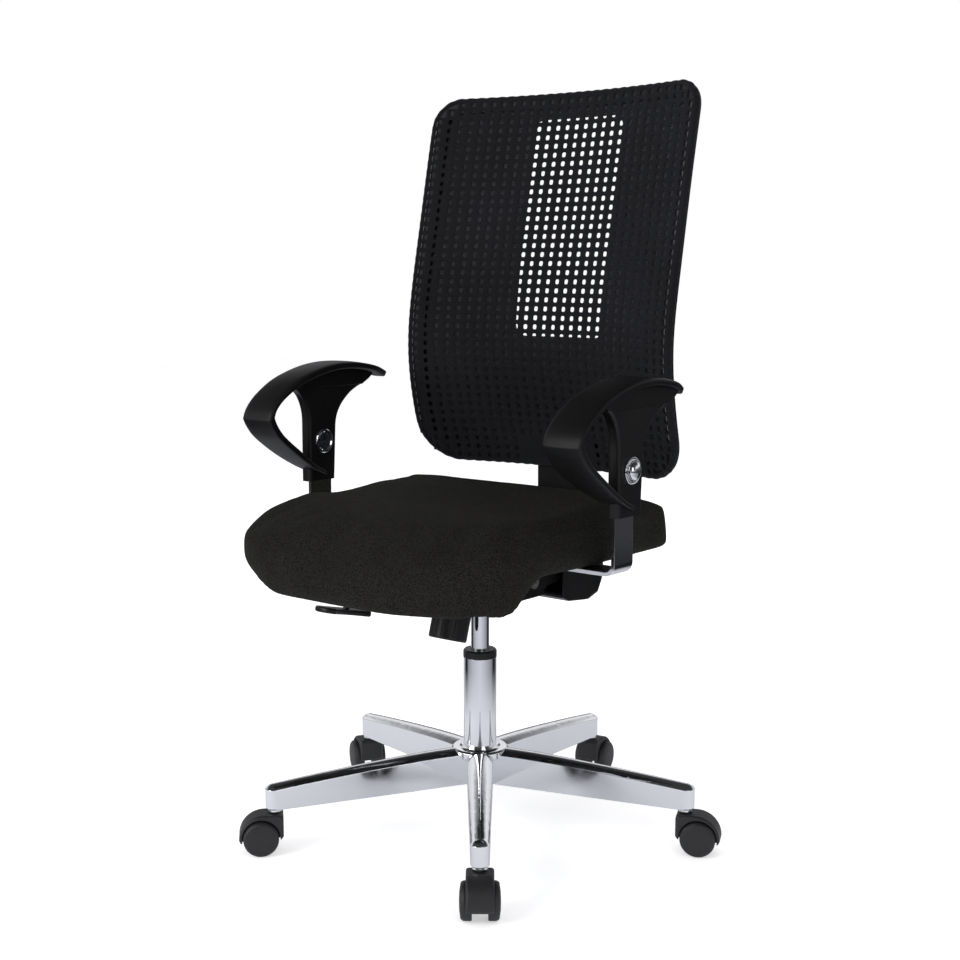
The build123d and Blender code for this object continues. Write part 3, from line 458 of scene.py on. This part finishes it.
def shell_with_painted_light(name, rough, painted_light_tone):
    """Black shell or frame whose face towards the mesh is a greyer rough one: the grey is painted light for
    what shows through the holes, and it is painted darker low down as painted shade.
    """
    m = Nodes(name, rough, Specular_IOR_Level=0.3)
    cloud = m.noise(9.0, 5.0)
    coords = m.add("ShaderNodeTexCoord")
    way = m.add("ShaderNodeSeparateXYZ")
    m.link(coords.outputs["Normal"], way.inputs["Vector"])
    where = m.add("ShaderNodeSeparateXYZ")
    m.link(coords.outputs["Object"], where.inputs["Vector"])
    inward = m.span(way.outputs["Y"], -0.2, -0.6, 0.0, 1.0)
    outside = m.mix(cloud, (0.0025, 0.0025, 0.003), (0.0046, 0.0046, 0.0054))
    # Painted light: the face towards the mesh is painted grey high up, and painted shade makes it darker low
    # down.
    painted_light_upper = m.mix(cloud, (painted_light_tone, painted_light_tone, painted_light_tone * 1.1), (painted_light_tone * 1.6, painted_light_tone * 1.6, painted_light_tone * 1.75))
    lower = m.mix(cloud, (painted_light_tone * 0.35, painted_light_tone * 0.35, painted_light_tone * 0.4), (painted_light_tone * 0.6, painted_light_tone * 0.6, painted_light_tone * 0.66))
    inside = m.mix(m.span(where.outputs["Z"], 0.66, 0.76, 0.0, 1.0), lower, painted_light_upper)
    smeared = m.span(cloud, 0.3, 0.7, rough - 0.04, rough + 0.04)
    gloss = m.math("ADD", smeared, m.math("MULTIPLY", inward, 0.35))
    grain = m.bump(m.noise(600.0, 2.0), 0.00005, 1.0, m.round_edges(0.0008))
    return m.finish(m.mix(inward, outside, inside), gloss, grain)


def dress_frame():
    """Gives every CAD node the node material of its slot in the record."""
    for row in frame["record"]["subparts"]:
        paint(nodes[row["node"]], MATERIALS[row["material_slot"]])
    # The faces of the shell and frame towards the mesh get painted light, grey high up, and painted shade,
    # darker low down.
    paint(nodes["back_shell"], shell_with_painted_light("rear_shell", 0.28, 0.062))
    paint(nodes["back_frame"], shell_with_painted_light("back_rim", 0.27, 0.007))


def paint(obj, material):
    if not obj.material_slots:
        obj.data.materials.append(material)
    for place in obj.material_slots:
        place.material = material


# --- seat ----------------------------------------------------------------------------------------
def soften(obj, rounds, group=""):
    smooth = obj.modifiers.new("soften", "SMOOTH")
    smooth.factor = 0.5
    smooth.iterations = rounds
    smooth.vertex_group = group
    applied(obj)


def refill_nose(obj):
    """Softening draws the nose in, so it is brought out again to the cushion's front and its lowest line.

    Then its corners are tucked in, and the one at the sitter's left hangs in a chin.
    """
    reach = NOSE_FRONT - NOSE_START
    low_y = min(v.co.y for v in obj.data.vertices)
    low_z = min(v.co.z for v in obj.data.vertices)
    for v in obj.data.vertices:
        if v.co.y < NOSE_START:
            v.co.y = NOSE_START + (v.co.y - NOSE_START) * reach / (low_y - NOSE_START)
        if v.co.z < NOSE_MIDDLE_Z:
            part = smoothstep(-0.200, -0.235, v.co.y)
            down = (v.co.z - NOSE_MIDDLE_Z) * (NOSE_LOW_Z - NOSE_MIDDLE_Z) / (low_z - NOSE_MIDDLE_Z)
            v.co.z += (NOSE_MIDDLE_Z + down - v.co.z) * part
            fill = smoothstep(-0.215, -0.245, v.co.y) * smoothstep(-0.31, -0.27, v.co.y)
            v.co.z -= NOSE_FILL * fill * smoothstep(NOSE_MIDDLE_Z, 0.425, v.co.z)
        out, ahead = abs(v.co.x) - CORNER_CENTRE[0], CORNER_CENTRE[1] - v.co.y
        if out > 0 and ahead > 0:
            tuck = TUCK_LOW[v.co.x > 0] * smoothstep(0.442, 0.404, v.co.z)
            tuck += TUCK_TOP * smoothstep(0.470, 0.512, v.co.z)
            radius = math.hypot(out, ahead)
            k = 1 - tuck * math.sin(2 * math.atan2(ahead, out)) * smoothstep(0.06, 0.13, radius) / radius
            v.co.x = math.copysign(CORNER_CENTRE[0] + out * k, v.co.x)
            v.co.y = CORNER_CENTRE[1] - ahead * k
        chin = smoothstep(CHIN_REACH, 0.0, math.hypot(v.co.x - CHIN_AT[0], v.co.y - CHIN_AT[1]))
        v.co.z -= CHIN_DROP * chin * smoothstep(0.468, 0.438, v.co.z)
    obj.data.update()


def seat_start():
    """The cushion's form remeshed in even cells and drawn in a little, ready to be inflated."""
    mesh = nodes["seat_cushion"].data.copy()
    obj = bpy.data.objects.new("seat_cover", mesh)
    bpy.context.scene.collection.objects.link(obj)
    work = bmesh.new()
    work.from_mesh(mesh)
    bmesh.ops.remove_doubles(work, verts=work.verts, dist=0.00005)
    work.to_mesh(mesh)
    work.free()
    remesh = obj.modifiers.new("even", "REMESH")
    remesh.mode = "VOXEL"
    remesh.voxel_size = VOXEL
    soften(obj, SOFTENING)
    front = obj.vertex_groups.new(name="front")
    for v in obj.data.vertices:
        front.add([v.index], smoothstep(-0.06, -0.24, v.co.y), "REPLACE")
    soften(obj, FRONT_SOFTENING, "front")
    obj.vertex_groups.clear()
    refill_nose(obj)
    normals = [v.normal.copy() for v in obj.data.vertices]
    for v, n in zip(obj.data.vertices, normals):
        above = v.co.z - cushion_floor(v.co.y)
        if above > 0.004:
            v.co -= n * SHRINK * smoothstep(0.0, 0.02, above)
    return obj


def cushion_floor(y):
    """Height of the cushion's lower edge along the side."""
    rows = ((-0.350, 0.410), (-0.300, 0.410), (-0.250, 0.424), (-0.196, 0.442), (0.16, 0.443))
    for (y0, z0), (y1, z1) in zip(rows, rows[1:]):
        if y <= y1:
            return z0 + (z1 - z0) * min(max((y - y0) / (y1 - y0), 0.0), 1.0)
    return rows[-1][1]


def inflate(obj):
    """Blows the cover up with cloth pressure, with its underside pinned, and caps how far it swells."""
    rest = [v.co.copy() for v in obj.data.vertices]
    pinned = obj.vertex_groups.new(name="pinned")
    for v in obj.data.vertices:
        above = v.co.z - cushion_floor(v.co.y)
        weight = 1.0 - smoothstep(0.002, 0.012, above)
        if weight > 0:
            pinned.add([v.index], weight, "REPLACE")
    cloth = obj.modifiers.new("cloth", "CLOTH")
    cloth.settings.use_pressure = True
    cloth.settings.uniform_pressure_force = PRESSURE
    cloth.settings.vertex_group_mass = "pinned"
    cloth.settings.quality = 6
    cloth.settings.mass = CLOTH_MASS
    cloth.settings.tension_stiffness = CLOTH_STIFFNESS
    cloth.settings.compression_stiffness = CLOTH_STIFFNESS
    cloth.settings.bending_stiffness = CLOTH_BENDING
    cloth.settings.effector_weights.gravity = 0
    cloth.collision_settings.use_collision = False
    cloth.point_cache.frame_start = 1
    cloth.point_cache.frame_end = SIM_FRAMES
    scene = bpy.context.scene
    for n in range(1, SIM_FRAMES + 1):
        scene.frame_set(n)
    applied(obj)
    obj.vertex_groups.clear()
    scene.frame_set(1)
    for v, start in zip(obj.data.vertices, rest):
        step = v.co - start
        if step.length > SWELL_CAP:
            v.co = start + step.normalized() * SWELL_CAP
    soften(obj, LAST_SOFTENING)


def gather(obj):
    """Puckers where the cover is drawn round the front corners, and the gathers of its lower edge."""
    normals = [v.normal.copy() for v in obj.data.vertices]
    for v, normal in zip(obj.data.vertices, normals):
        x, y, z = v.co
        above = z - cushion_floor(y)
        corner = smoothstep(0.15, 0.215, abs(x)) * smoothstep(-0.2, -0.27, y)
        around = math.atan2(y + 0.21, abs(x) - 0.13)
        pucker = math.sin(around * 46 + 5 * math.sin(z * 90)) * corner * (1 - smoothstep(0.01, 0.075, above))
        edge = math.sin((x + y) * 640 + 2.2 * math.sin(x * 57)) * (1 - smoothstep(0.0, 0.014, above))
        edge *= smoothstep(-0.12, -0.2, y)
        slack = math.sin(x * 21 + 1.3) * math.sin(y * 17 - 0.8) * smoothstep(0.03, 0.07, above)
        v.co += normal * (PUCKER_DEPTH * pucker + PUCKER_DEPTH * edge + SLACK_DEPTH * slack)
    obj.data.update()


def seat_cover():
    """The seat's upholstery cover, which stands for the cushion."""
    cover = seat_start()
    inflate(cover)
    gather(cover)
    subdivided(cover, 1)
    applied(cover)
    only_material(cover, MATERIALS["seat_fabric"])
    cover.data.polygons.foreach_set("use_smooth", [True] * len(cover.data.polygons))
    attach(cover, "seat")
    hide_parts("seat_cushion")
    return cover


def seat_hem(cover):
    """Drawstring hem that gathers the cover under the cushion's edge."""
    centre = Vector((0, HEM_CENTRE_Y, 0))
    outline = [None] * HEM_BINS
    for v in cover.data.vertices:
        if v.normal.z > -0.55:
            continue
        flat = Vector((v.co.x, v.co.y, 0)) - centre
        k = int((math.atan2(flat.y, flat.x) / (2 * math.pi) + 0.5) * HEM_BINS) % HEM_BINS
        if outline[k] is None or flat.length > (outline[k].xy - centre.xy).length:
            outline[k] = v.co.copy()
    outline = [p for p in outline if p is not None]
    for _ in range(3):
        count = len(outline)
        outline = [(outline[i - 1] + outline[i] * 2 + outline[(i + 1) % count]) / 4 for i in range(count)]
    lift = Vector((0, 0, 0.0005))
    inner = [p + (centre - Vector((p.x, p.y, 0))).normalized() * HEM_INSET + lift for p in outline]
    path = []
    for i in range(len(inner)):
        nearby = [inner[(i + k) % len(inner)] for k in (-1, 0, 1, 2)]
        path += [catmull(nearby, t) for t in (0.0, 0.25, 0.5, 0.75)]
    verts, faces = tube(path, lambda i: HEM_R * (1 + math.sin(i * 1.7) / 3), 8)
    return new_piece("seat_hem", verts, faces, "seat", MATERIALS["seat_fabric"])


# --- backrest ------------------------------------------------------------------------------------
class BackSurface:
    """Front face of the backrest's cover, read from the frame."""

    def __init__(self):
        node = nodes["back_mesh"]
        mesh = node.data
        self.tree = BVHTree.FromPolygons([v.co for v in mesh.vertices], [p.vertices for p in mesh.polygons])
        low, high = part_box("back_mesh")
        self.half, self.low, self.high = high.x, low.z, high.z

    def depth(self, x, z):
        """Y of the front face, carried on past its outline."""
        x = min(max(x, -self.half + 0.001), self.half - 0.001)
        z = min(max(z, self.low + 0.001), self.high - 0.001)
        reach = self.corner_reach(x, z)
        hit = self.tree.ray_cast(Vector((reach[0], -1, reach[1])), Vector((0, 1, 0)))[0]
        return hit.y

    def corner_reach(self, x, z):
        """The point itself, or the nearest one that is inside the rounded outline."""
        r = TOP_CORNER_R if z > (self.low + self.high) / 2 else LOW_CORNER_R
        r += 0.001
        cx = self.half - r
        cz = self.high - r if z > (self.low + self.high) / 2 else self.low + r
        dx, dz = abs(x) - cx, (z - cz) * (1 if z > cz else -1)
        above = z > cz if cz > (self.low + self.high) / 2 else z < cz
        if dx > 0 and above:
            span = math.hypot(dx, dz)
            if span > r - 0.0025:
                k = (r - 0.0025) / span
                return math.copysign(cx + dx * k, x), cz + (z - cz) * k
        return x, z

    def inside(self, x, z, inset):
        """True where a point is further than inset inside the outline."""
        half, low, high = self.half - inset, self.low + inset, self.high - inset
        if abs(x) > half or not low < z < high:
            return False
        for r, cz, sign in ((TOP_CORNER_R - inset, high - TOP_CORNER_R + inset, 1),
                            (LOW_CORNER_R - inset, low + LOW_CORNER_R - inset, -1)):
            cx = half - r
            if abs(x) > cx and (z - cz) * sign > 0 and math.hypot(abs(x) - cx, z - cz) > r:
                return False
        return True

    def outline(self, step):
        """Points and outward directions round the outline, about step apart, anticlockwise from the front."""
        half, low, high = self.half, self.low, self.high
        runs = [
            ("line", (-half + LOW_CORNER_R, low), (half - LOW_CORNER_R, low), (0, -1)),
            ("arc", (half - LOW_CORNER_R, low + LOW_CORNER_R), LOW_CORNER_R, -90),
            ("line", (half, low + LOW_CORNER_R), (half, high - TOP_CORNER_R), (1, 0)),
            ("arc", (half - TOP_CORNER_R, high - TOP_CORNER_R), TOP_CORNER_R, 0),
            ("line", (half - TOP_CORNER_R, high), (-half + TOP_CORNER_R, high), (0, 1)),
            ("arc", (-half + TOP_CORNER_R, high - TOP_CORNER_R), TOP_CORNER_R, 90),
            ("line", (-half, high - TOP_CORNER_R), (-half, low + LOW_CORNER_R), (-1, 0)),
            ("arc", (-half + LOW_CORNER_R, low + LOW_CORNER_R), LOW_CORNER_R, 180),
        ]
        out = []
        for kind, a, b, c in runs:
            if kind == "line":
                length = math.dist(a, b)
                count = max(round(length / step), 1)
                for i in range(count):
                    t = i / count
                    out.append(((a[0] + (b[0] - a[0]) * t, a[1] + (b[1] - a[1]) * t), c))
            else:
                count = max(round(b * math.pi / 2 / step), 1)
                for i in range(count):
                    angle = math.radians(c + 90 * i / count)
                    d = (math.cos(angle), math.sin(angle))
                    out.append(((a[0] + d[0] * b, a[1] + d[1] * b), d))
        return out


def stretch(x, z, surface):
    """The knit's rows are pulled towards the corners, so they fan out a little at the sides."""
    middle = (surface.low + surface.high) / 2
    pull = (abs(x) / surface.half) ** 2.4 * (z - middle) / (surface.high - middle)
    return z + 0.006 * pull


def back_net(surface):
    """Knitted cover with its open holes, in one sheet over the front of the frame."""
    columns = int(surface.half * 2 / COLUMN_PITCH)
    rows = int((surface.high - surface.low) / ROW_PITCH)
    x0 = -columns * COLUMN_PITCH / 2
    z0 = (surface.low + surface.high) / 2 - rows * ROW_PITCH / 2
    verts, faces, known = [], [], {}

    def corner(i, j, k, side):
        """A shared vertex on a cell's border: k thirds along the bottom or left side of cell (i, j)."""
        key = (i, j, k, side) if k else (i, j, 0, 0)
        if key not in known:
            dx, dz = (k / 3, 0) if side == 0 else (0, k / 3)
            known[key] = len(verts)
            verts.append(place(x0 + (i + dx) * COLUMN_PITCH, z0 + (j + dz) * ROW_PITCH, 0.0))
        return known[key]

    def place(x, z, back):
        z = stretch(x, z, surface)
        return Vector((x, surface.depth(x, z) - 0.0004 + back, z))

    for i in range(columns):
        for j in range(rows):
            cx, cz = x0 + (i + 0.5) * COLUMN_PITCH, z0 + (j + 0.5) * ROW_PITCH
            if not surface.inside(cx, stretch(cx, cz, surface), NET_INSET):
                continue
            border = [corner(i, j, 0, 0), corner(i, j, 1, 0), corner(i, j, 2, 0), corner(i + 1, j, 0, 0),
                      corner(i + 1, j, 1, 1), corner(i + 1, j, 2, 1), corner(i + 1, j + 1, 0, 0),
                      corner(i, j + 1, 2, 0), corner(i, j + 1, 1, 0), corner(i, j + 1, 0, 0),
                      corner(i, j, 2, 1), corner(i, j, 1, 1)]
            wide = random.uniform(0.94, 1.06)
            if cz < CLOSED_BELOW_Z and abs(cx) < CLOSED_HALF:
                faces.append(tuple(border))
                continue
            rings = []
            for grow, back in ((1.22, 0.0001), (1.0, 0.0007)):
                ring = []
                for k in range(HOLE_POINTS):
                    turn = math.radians(225 + 360 // HOLE_POINTS * k)
                    c, s = math.cos(turn), math.sin(turn)
                    hx = math.copysign(abs(c) ** HOLE_SQUARENESS, c) * HOLE_HALF[0] * grow * wide
                    hz = math.copysign(abs(s) ** HOLE_SQUARENESS, s) * HOLE_HALF[1] * grow
                    ring.append(len(verts))
                    verts.append(place(cx + hx, cz + hz, back))
                rings.append(ring)
            for outer, inner in ((border, rings[0]), (rings[0], rings[1])):
                for k in range(HOLE_POINTS):
                    m = (k + 1) % HOLE_POINTS
                    faces.append((outer[k], outer[m], inner[m], inner[k]))
    net = new_piece("back_net", verts, faces, "backrest", MATERIALS["mesh_fabric"])
    thickened(net, NET_THICK)
    applied(net)
    only_material(net, MATERIALS["mesh_fabric"])
    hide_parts("back_mesh")
    return net


RIM_PROFILE = ((0.0062, -0.0003), (0.0046, -0.0009), (0.0028, -0.0009), (0.0010, 0.0002), (-0.0006, 0.0024),
               (-0.0010, 0.0060), (-0.0006, 0.0095), (0.0012, 0.0122), (0.0050, 0.0130), (0.0085, 0.0128))


def back_edge(surface):
    """The cover's border where it wraps round the frame, drawn in between its mesh courses."""
    ring = surface.outline(EDGE_STEP)
    verts, faces = [], []
    run = 0.0
    for n, ((x, z), (dx, dz)) in enumerate(ring):
        if n:
            run += math.dist(ring[n - 1][0], (x, z))
        pitch = COLUMN_PITCH if abs(dz) > abs(dx) else ROW_PITCH
        scallop = abs(math.sin(math.pi * run / pitch))
        for inset, depth in RIM_PROFILE:
            out = SCALLOP * scallop * smoothstep(0.006, -0.001, inset)
            px, pz = x - dx * (inset - out), z - dz * (inset - out)
            verts.append(Vector((px, surface.depth(px, pz) + depth, pz)))
    count, width = len(ring), len(RIM_PROFILE)
    for n in range(count):
        m = (n + 1) % count
        for k in range(width - 1):
            faces.append((n * width + k, m * width + k, m * width + k + 1, n * width + k + 1))
    edge = new_piece("back_edge", verts, faces, "backrest", MATERIALS["mesh_fabric"])
    recalc_normals(edge)
    thickened(edge, EDGE_THICK)
    subdivided(edge, 1)
    applied(edge)
    only_material(edge, MATERIALS["mesh_fabric"])
    return edge


def back_stitch(surface):
    """A row of stitches down each side, just inside the border."""
    verts, faces = [], []
    for sign in (-1, 1):
        z = surface.low + LOW_CORNER_R
        while z < surface.high - TOP_CORNER_R:
            x = sign * (surface.half - STITCH_INSET)
            points = []
            for t in (0.0, 0.25, 0.5, 0.75, 1.0):
                pz = z + STITCH_LENGTH * t
                lift = 0.0006 * math.sin(math.pi * t) + 0.0009
                points.append(Vector((x, surface.depth(x, pz) - lift, pz)))
            part, part_faces = tube(points, lambda i: STITCH_R, 6, closed=False)
            faces += [tuple(k + len(verts) for k in f) for f in part_faces]
            verts += part
            z += ROW_PITCH
    return new_piece("back_stitches", verts, faces, "backrest", THREAD)


# --- armrests ------------------------------------------------------------------------------------
# Side outlines of the arm loop in Y and Z, nose to tail and nose to foot, in millimetres.
BAND_OVER = ((-187, 624), (-180, 640), (-160, 660), (-121, 683), (-62, 700), (-5, 704), (52, 696), (92, 684))
BAND_UNDER = ((-174, 629), (-168, 641), (-150, 656), (-112, 675), (-55, 690), (-4, 693), (46, 687), (86, 675))
STRAP_OUTER = ((-187, 624), (-179, 610), (-162, 592), (-122, 564), (-76, 539), (-40, 526))
STRAP_INNER = ((-174, 629), (-168, 616), (-152, 598), (-118, 574), (-76, 548), (-40, 533))
BAND_WIDTH = ((31, 281), (31, 281), (31, 281), (31, 281), (31, 281), (30.5, 281), (27, 281), (13, 281))
STRAP_WIDTH = ((31, 281), (31, 281), (30.5, 281.3), (28, 282.5), (21, 285.5), (12.5, 288))
LOOP_SECTION = ((-1, 0.3), (-1, 0.78), (-0.945, 1.0), (-0.5, 1.07), (0, 1.1), (0.5, 1.07), (0.945, 1.0),
                (1, 0.78), (1, 0.3), (0.93, 0.0), (0.5, 0.0), (0, 0.0), (-0.5, 0.0), (-0.93, 0.0))


def loop_part(over, under, widths, sign, count, tail_round):
    """Rings of the arm loop's band or strap, each between its outer and its inner line."""
    outer = spline([(0, y, z) for y, z in over], count)
    inner = spline([(0, y, z) for y, z in under], count)
    width = spline([(w, x, 0) for w, x in widths], count)
    rings = []
    for n in range(count):
        half, centre = width[n].x, width[n].y
        a, b = inner[n], outer[n]
        ring = []
        for u, v in LOOP_SECTION:
            p = a + (b - a) * v
            ring.append(Vector((sign * (centre + u * half), p.y, p.z)) / 1000)
        rings.append(ring)
    if tail_round:
        last = rings[-1]
        middle = sum(last, Vector()) / len(last)
        along = (rings[-1][4] - rings[-2][4]).normalized()
        rings.append([middle + (p - middle) * 0.72 + along * 0.004 for p in last])
        rings.append([middle + (p - middle) * 0.3 + along * 0.0055 for p in last])
    return rings


def arm_loop(side, sign):
    """The soft band over the arm and the strap under it, in one piece with a crease at the nose."""
    band = loop_part(BAND_OVER, BAND_UNDER, BAND_WIDTH, sign, 30, True)
    strap = loop_part(STRAP_OUTER, STRAP_INNER, STRAP_WIDTH, sign, 24, False)
    rings = list(reversed(strap[1:])) + band
    width = len(LOOP_SECTION)
    verts = [p for ring in rings for p in ring]
    faces = skin(len(rings), width)
    loop = new_piece(f"arm_loop_{side}", verts, faces, f"arm_{side}", MATERIALS["soft_pad"])
    recalc_normals(loop)
    nose = len(strap) - 1
    crease = loop.data.attributes.new("crease_edge", "FLOAT", "EDGE")
    on_nose = set(range(nose * width + 1, nose * width + 8))
    for edge in loop.data.edges:
        if edge.vertices[0] in on_nose and edge.vertices[1] in on_nose:
            crease.data[edge.index].value = NOSE_CREASE
    subdivided(loop, 2)
    applied(loop)
    return loop


# Outline of the web under the loop in Y and Z, in millimetres.
RISER_PROFILE = ((-106, 665.5), (-40, 665.5), (42, 665.5), (58, 674), (70, 683), (42, 689), (-4, 694),
                 (-55, 691), (-112, 676.5), (-110, 670))


def arm_riser(side, sign):
    """The web between the sleeve's flared top and the loop's underside."""
    verts = []
    x_low, x_high = RISER_X
    steps = ((x_low, 0.965), (x_low + 0.0012, 1.0), (x_high - 0.0012, 1.0), (x_high, 0.965))
    mid = Vector(RISER_MIDDLE)
    for x, grow in steps:
        for y, z in RISER_PROFILE:
            p = mid + (Vector((0, y / 1000, z / 1000)) - mid) * grow
            verts.append(Vector((sign * x, p.y, p.z)))
    faces = skin(len(steps), len(RISER_PROFILE))
    riser = new_piece(f"arm_riser_{side}", verts, faces, f"arm_{side}", MATERIALS["soft_pad"],
                      smooth=False)
    recalc_normals(riser)
    bevel = riser.modifiers.new("soft", "BEVEL")
    bevel.width = RISER_BEVEL
    bevel.segments = 3
    bevel.limit_method = "ANGLE"
    applied(riser)
    return riser


def turned(profile, centre, sign):
    """Vertices turned about a line along X through centre, from (radius, height) points in metres."""
    verts = []
    for radius, out in profile:
        for k in range(LATCH_STEPS):
            a = 2 * math.pi * k / LATCH_STEPS
            verts.append(centre + Vector((sign * out, radius * math.cos(a), radius * math.sin(a))))
    return verts


DOME = ((0.0124, -0.0025), (0.0128, 0.0012), (0.0132, 0.0026), (0.0131, 0.0042), (0.0124, 0.0062),
        (0.0108, 0.0082), (0.0083, 0.0098), (0.0052, 0.0108), (0.0022, 0.0112), (0.0005, 0.01125))
BEZEL = ((0.0136, 0.0001), (0.0137, 0.0022), (0.0143, 0.0030), (0.0152, 0.0027), (0.0160, 0.0018),
         (0.0168, 0.0022), (0.0178, 0.0030), (0.0186, 0.0026), (0.0190, 0.0012), (0.0190, 0.0001))


def arm_latch(side, sign):
    """Chrome dome of the latch button, and the stepped bright ring that it sits in."""
    low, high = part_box(f"arm_button_{side}")
    sleeve_low, sleeve_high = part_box(f"arm_sleeve_{side}")
    face = max(abs(sleeve_low.x), abs(sleeve_high.x))
    centre = Vector((sign * face, (low.y + high.y) / 2, (low.z + high.z) / 2))
    for name, profile, body in (("arm_dome", DOME, "button"), ("arm_bezel", BEZEL, "arm")):
        ring = name == "arm_bezel"
        faces = skin(len(profile), LATCH_STEPS, not ring, ring)
        piece = new_piece(f"{name}_{side}", turned(profile, centre, sign), faces, f"{body}_{side}",
                          MATERIALS["chrome"])
        recalc_normals(piece)
        if not ring:
            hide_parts(f"arm_button_{side}")


# --- stage ---------------------------------------------------------------------------------------
def area_light(name, where, size, power):
    data = bpy.data.lights.new(name, "AREA")
    data.shape = "RECTANGLE"
    data.size, data.size_y = size
    data.energy = power
    obj = bpy.data.objects.new(name, data)
    obj.location = where
    obj.rotation_euler = (Vector(AIM) - Vector(where)).to_track_quat("-Z", "Y").to_euler()
    bpy.context.scene.collection.objects.link(obj)
    return obj


def stage():
    """Floor, world and lights."""
    corners = [(x * FLOOR_HALF, y * FLOOR_HALF, 0) for x, y in ((-1, -1), (1, -1), (1, 1), (-1, 1))]
    mesh = bpy.data.meshes.new("floor")
    mesh.from_pydata(corners, [], [(0, 1, 2, 3)])
    mesh.materials.append(floor_material())
    floor = bpy.data.objects.new("floor", mesh)
    bpy.context.scene.collection.objects.link(floor)

    studio_world()
    area_light("key", (-0.9, -2.9, 1.7), (1.6, 2.0), 48)
    area_light("fill", (3.0, -1.6, 1.7), (1.2, 2.2), 18)
    for overhead in (area_light("top", (0.2, 0.3, 3.4), (2.6, 2.6), 8),
                     area_light("rear", (-1.2, 3.0, 1.9), (2.4, 1.8), 24)):
        overhead.visible_glossy = False


def studio_world():
    """White light, strongest from low down; gloss sees pale walls, a dark ceiling and a dark front."""
    world = bpy.data.worlds.new("studio")
    bpy.context.scene.world = world
    world.use_nodes = True
    tree = world.node_tree
    link = tree.links.new
    coords = tree.nodes.new("ShaderNodeTexCoord")
    split = tree.nodes.new("ShaderNodeSeparateXYZ")
    link(coords.outputs["Generated"], split.inputs["Vector"])

    def ramp(value, stops):
        node = tree.nodes.new("ShaderNodeValToRGB")
        while len(node.color_ramp.elements) < len(stops):
            node.color_ramp.elements.new(0.5)
        for element, (at, grey) in zip(node.color_ramp.elements, stops):
            element.position = at
            element.color = (grey, grey, grey * 1.03, 1)
        link(value, node.inputs["Fac"])
        return node.outputs["Color"]

    def background(colour, strength=1.0):
        node = tree.nodes.new("ShaderNodeBackground")
        node.inputs["Strength"].default_value = strength
        if isinstance(colour, tuple):
            node.inputs["Color"].default_value = (*colour, 1)
        else:
            link(colour, node.inputs["Color"])
        return node.outputs["Background"]

    def choose(factor, a, b):
        node = tree.nodes.new("ShaderNodeMixShader")
        link(factor, node.inputs["Fac"])
        link(a, node.inputs[1])
        link(b, node.inputs[2])
        return node.outputs["Shader"]

    far = ramp(split.outputs["Z"], ((0.0, 0.1), (0.09, 0.1), (0.19, 0.75), (0.36, 0.9), (0.48, 0.3),
                                    (0.6, 0.05), (1.0, 0.04)))
    near = ramp(split.outputs["Z"], ((0.0, 0.45), (0.12, 0.2), (0.3, 0.1), (0.6, 0.05), (1.0, 0.04)))
    facing = tree.nodes.new("ShaderNodeVectorMath")
    facing.operation = "DOT_PRODUCT"
    facing.inputs[1].default_value = (0.625, -0.78, 0)
    link(coords.outputs["Generated"], facing.inputs[0])
    front = ramp(facing.outputs["Value"], ((0.0, 0.0), (0.25, 0.0), (0.5, 1.0)))
    gloss = choose(front, background(far), background(near))
    path = tree.nodes.new("ShaderNodeLightPath")
    sky = ramp(split.outputs["Z"], ((0.0, 1.0), (0.35, 0.9), (0.7, 0.5), (1.0, 0.3)))
    light = choose(path.outputs["Is Glossy Ray"], background(sky, 1.1), gloss)
    seen = choose(path.outputs["Is Camera Ray"], light, background((1, 1, 1)))
    link(seen, tree.nodes["World Output"].inputs["Surface"])


def camera():
    """The camera stands before the chair at the sitter's left, and looks a little down."""
    data = bpy.data.cameras.new("camera")
    data.lens = CAMERA_LENS
    data.sensor_width = 36.0
    cam = bpy.data.objects.new("camera", data)
    bpy.context.scene.collection.objects.link(cam)
    azimuth, pitch = math.radians(CAMERA_AZIMUTH), math.radians(CAMERA_PITCH)
    cam.location = (math.sin(azimuth) * CAMERA_AWAY, -math.cos(azimuth) * CAMERA_AWAY, CAMERA_HEIGHT)
    level = math.cos(pitch)
    ahead = Vector((-math.sin(azimuth) * level, math.cos(azimuth) * level, -math.sin(pitch)))
    cam.rotation_mode = "QUATERNION"
    cam.rotation_quaternion = ahead.to_track_quat("-Z", "Y")
    bpy.context.scene.camera = cam


# --- build ---------------------------------------------------------------------------------------
dress_frame()
seat_hem(seat_cover())
surface = BackSurface()
net = back_net(surface)
trim = [back_edge(surface), back_stitch(surface)]
# The cut is 0.50 by 0.62 m.
for side, sign in SIDES:
    loop = arm_loop(side, sign)
    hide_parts(f"arm_pad_{side}")
    arm_riser(side, sign)
    arm_latch(side, sign)
stage()
camera()
bpy.context.scene.view_settings.view_transform = "Standard"
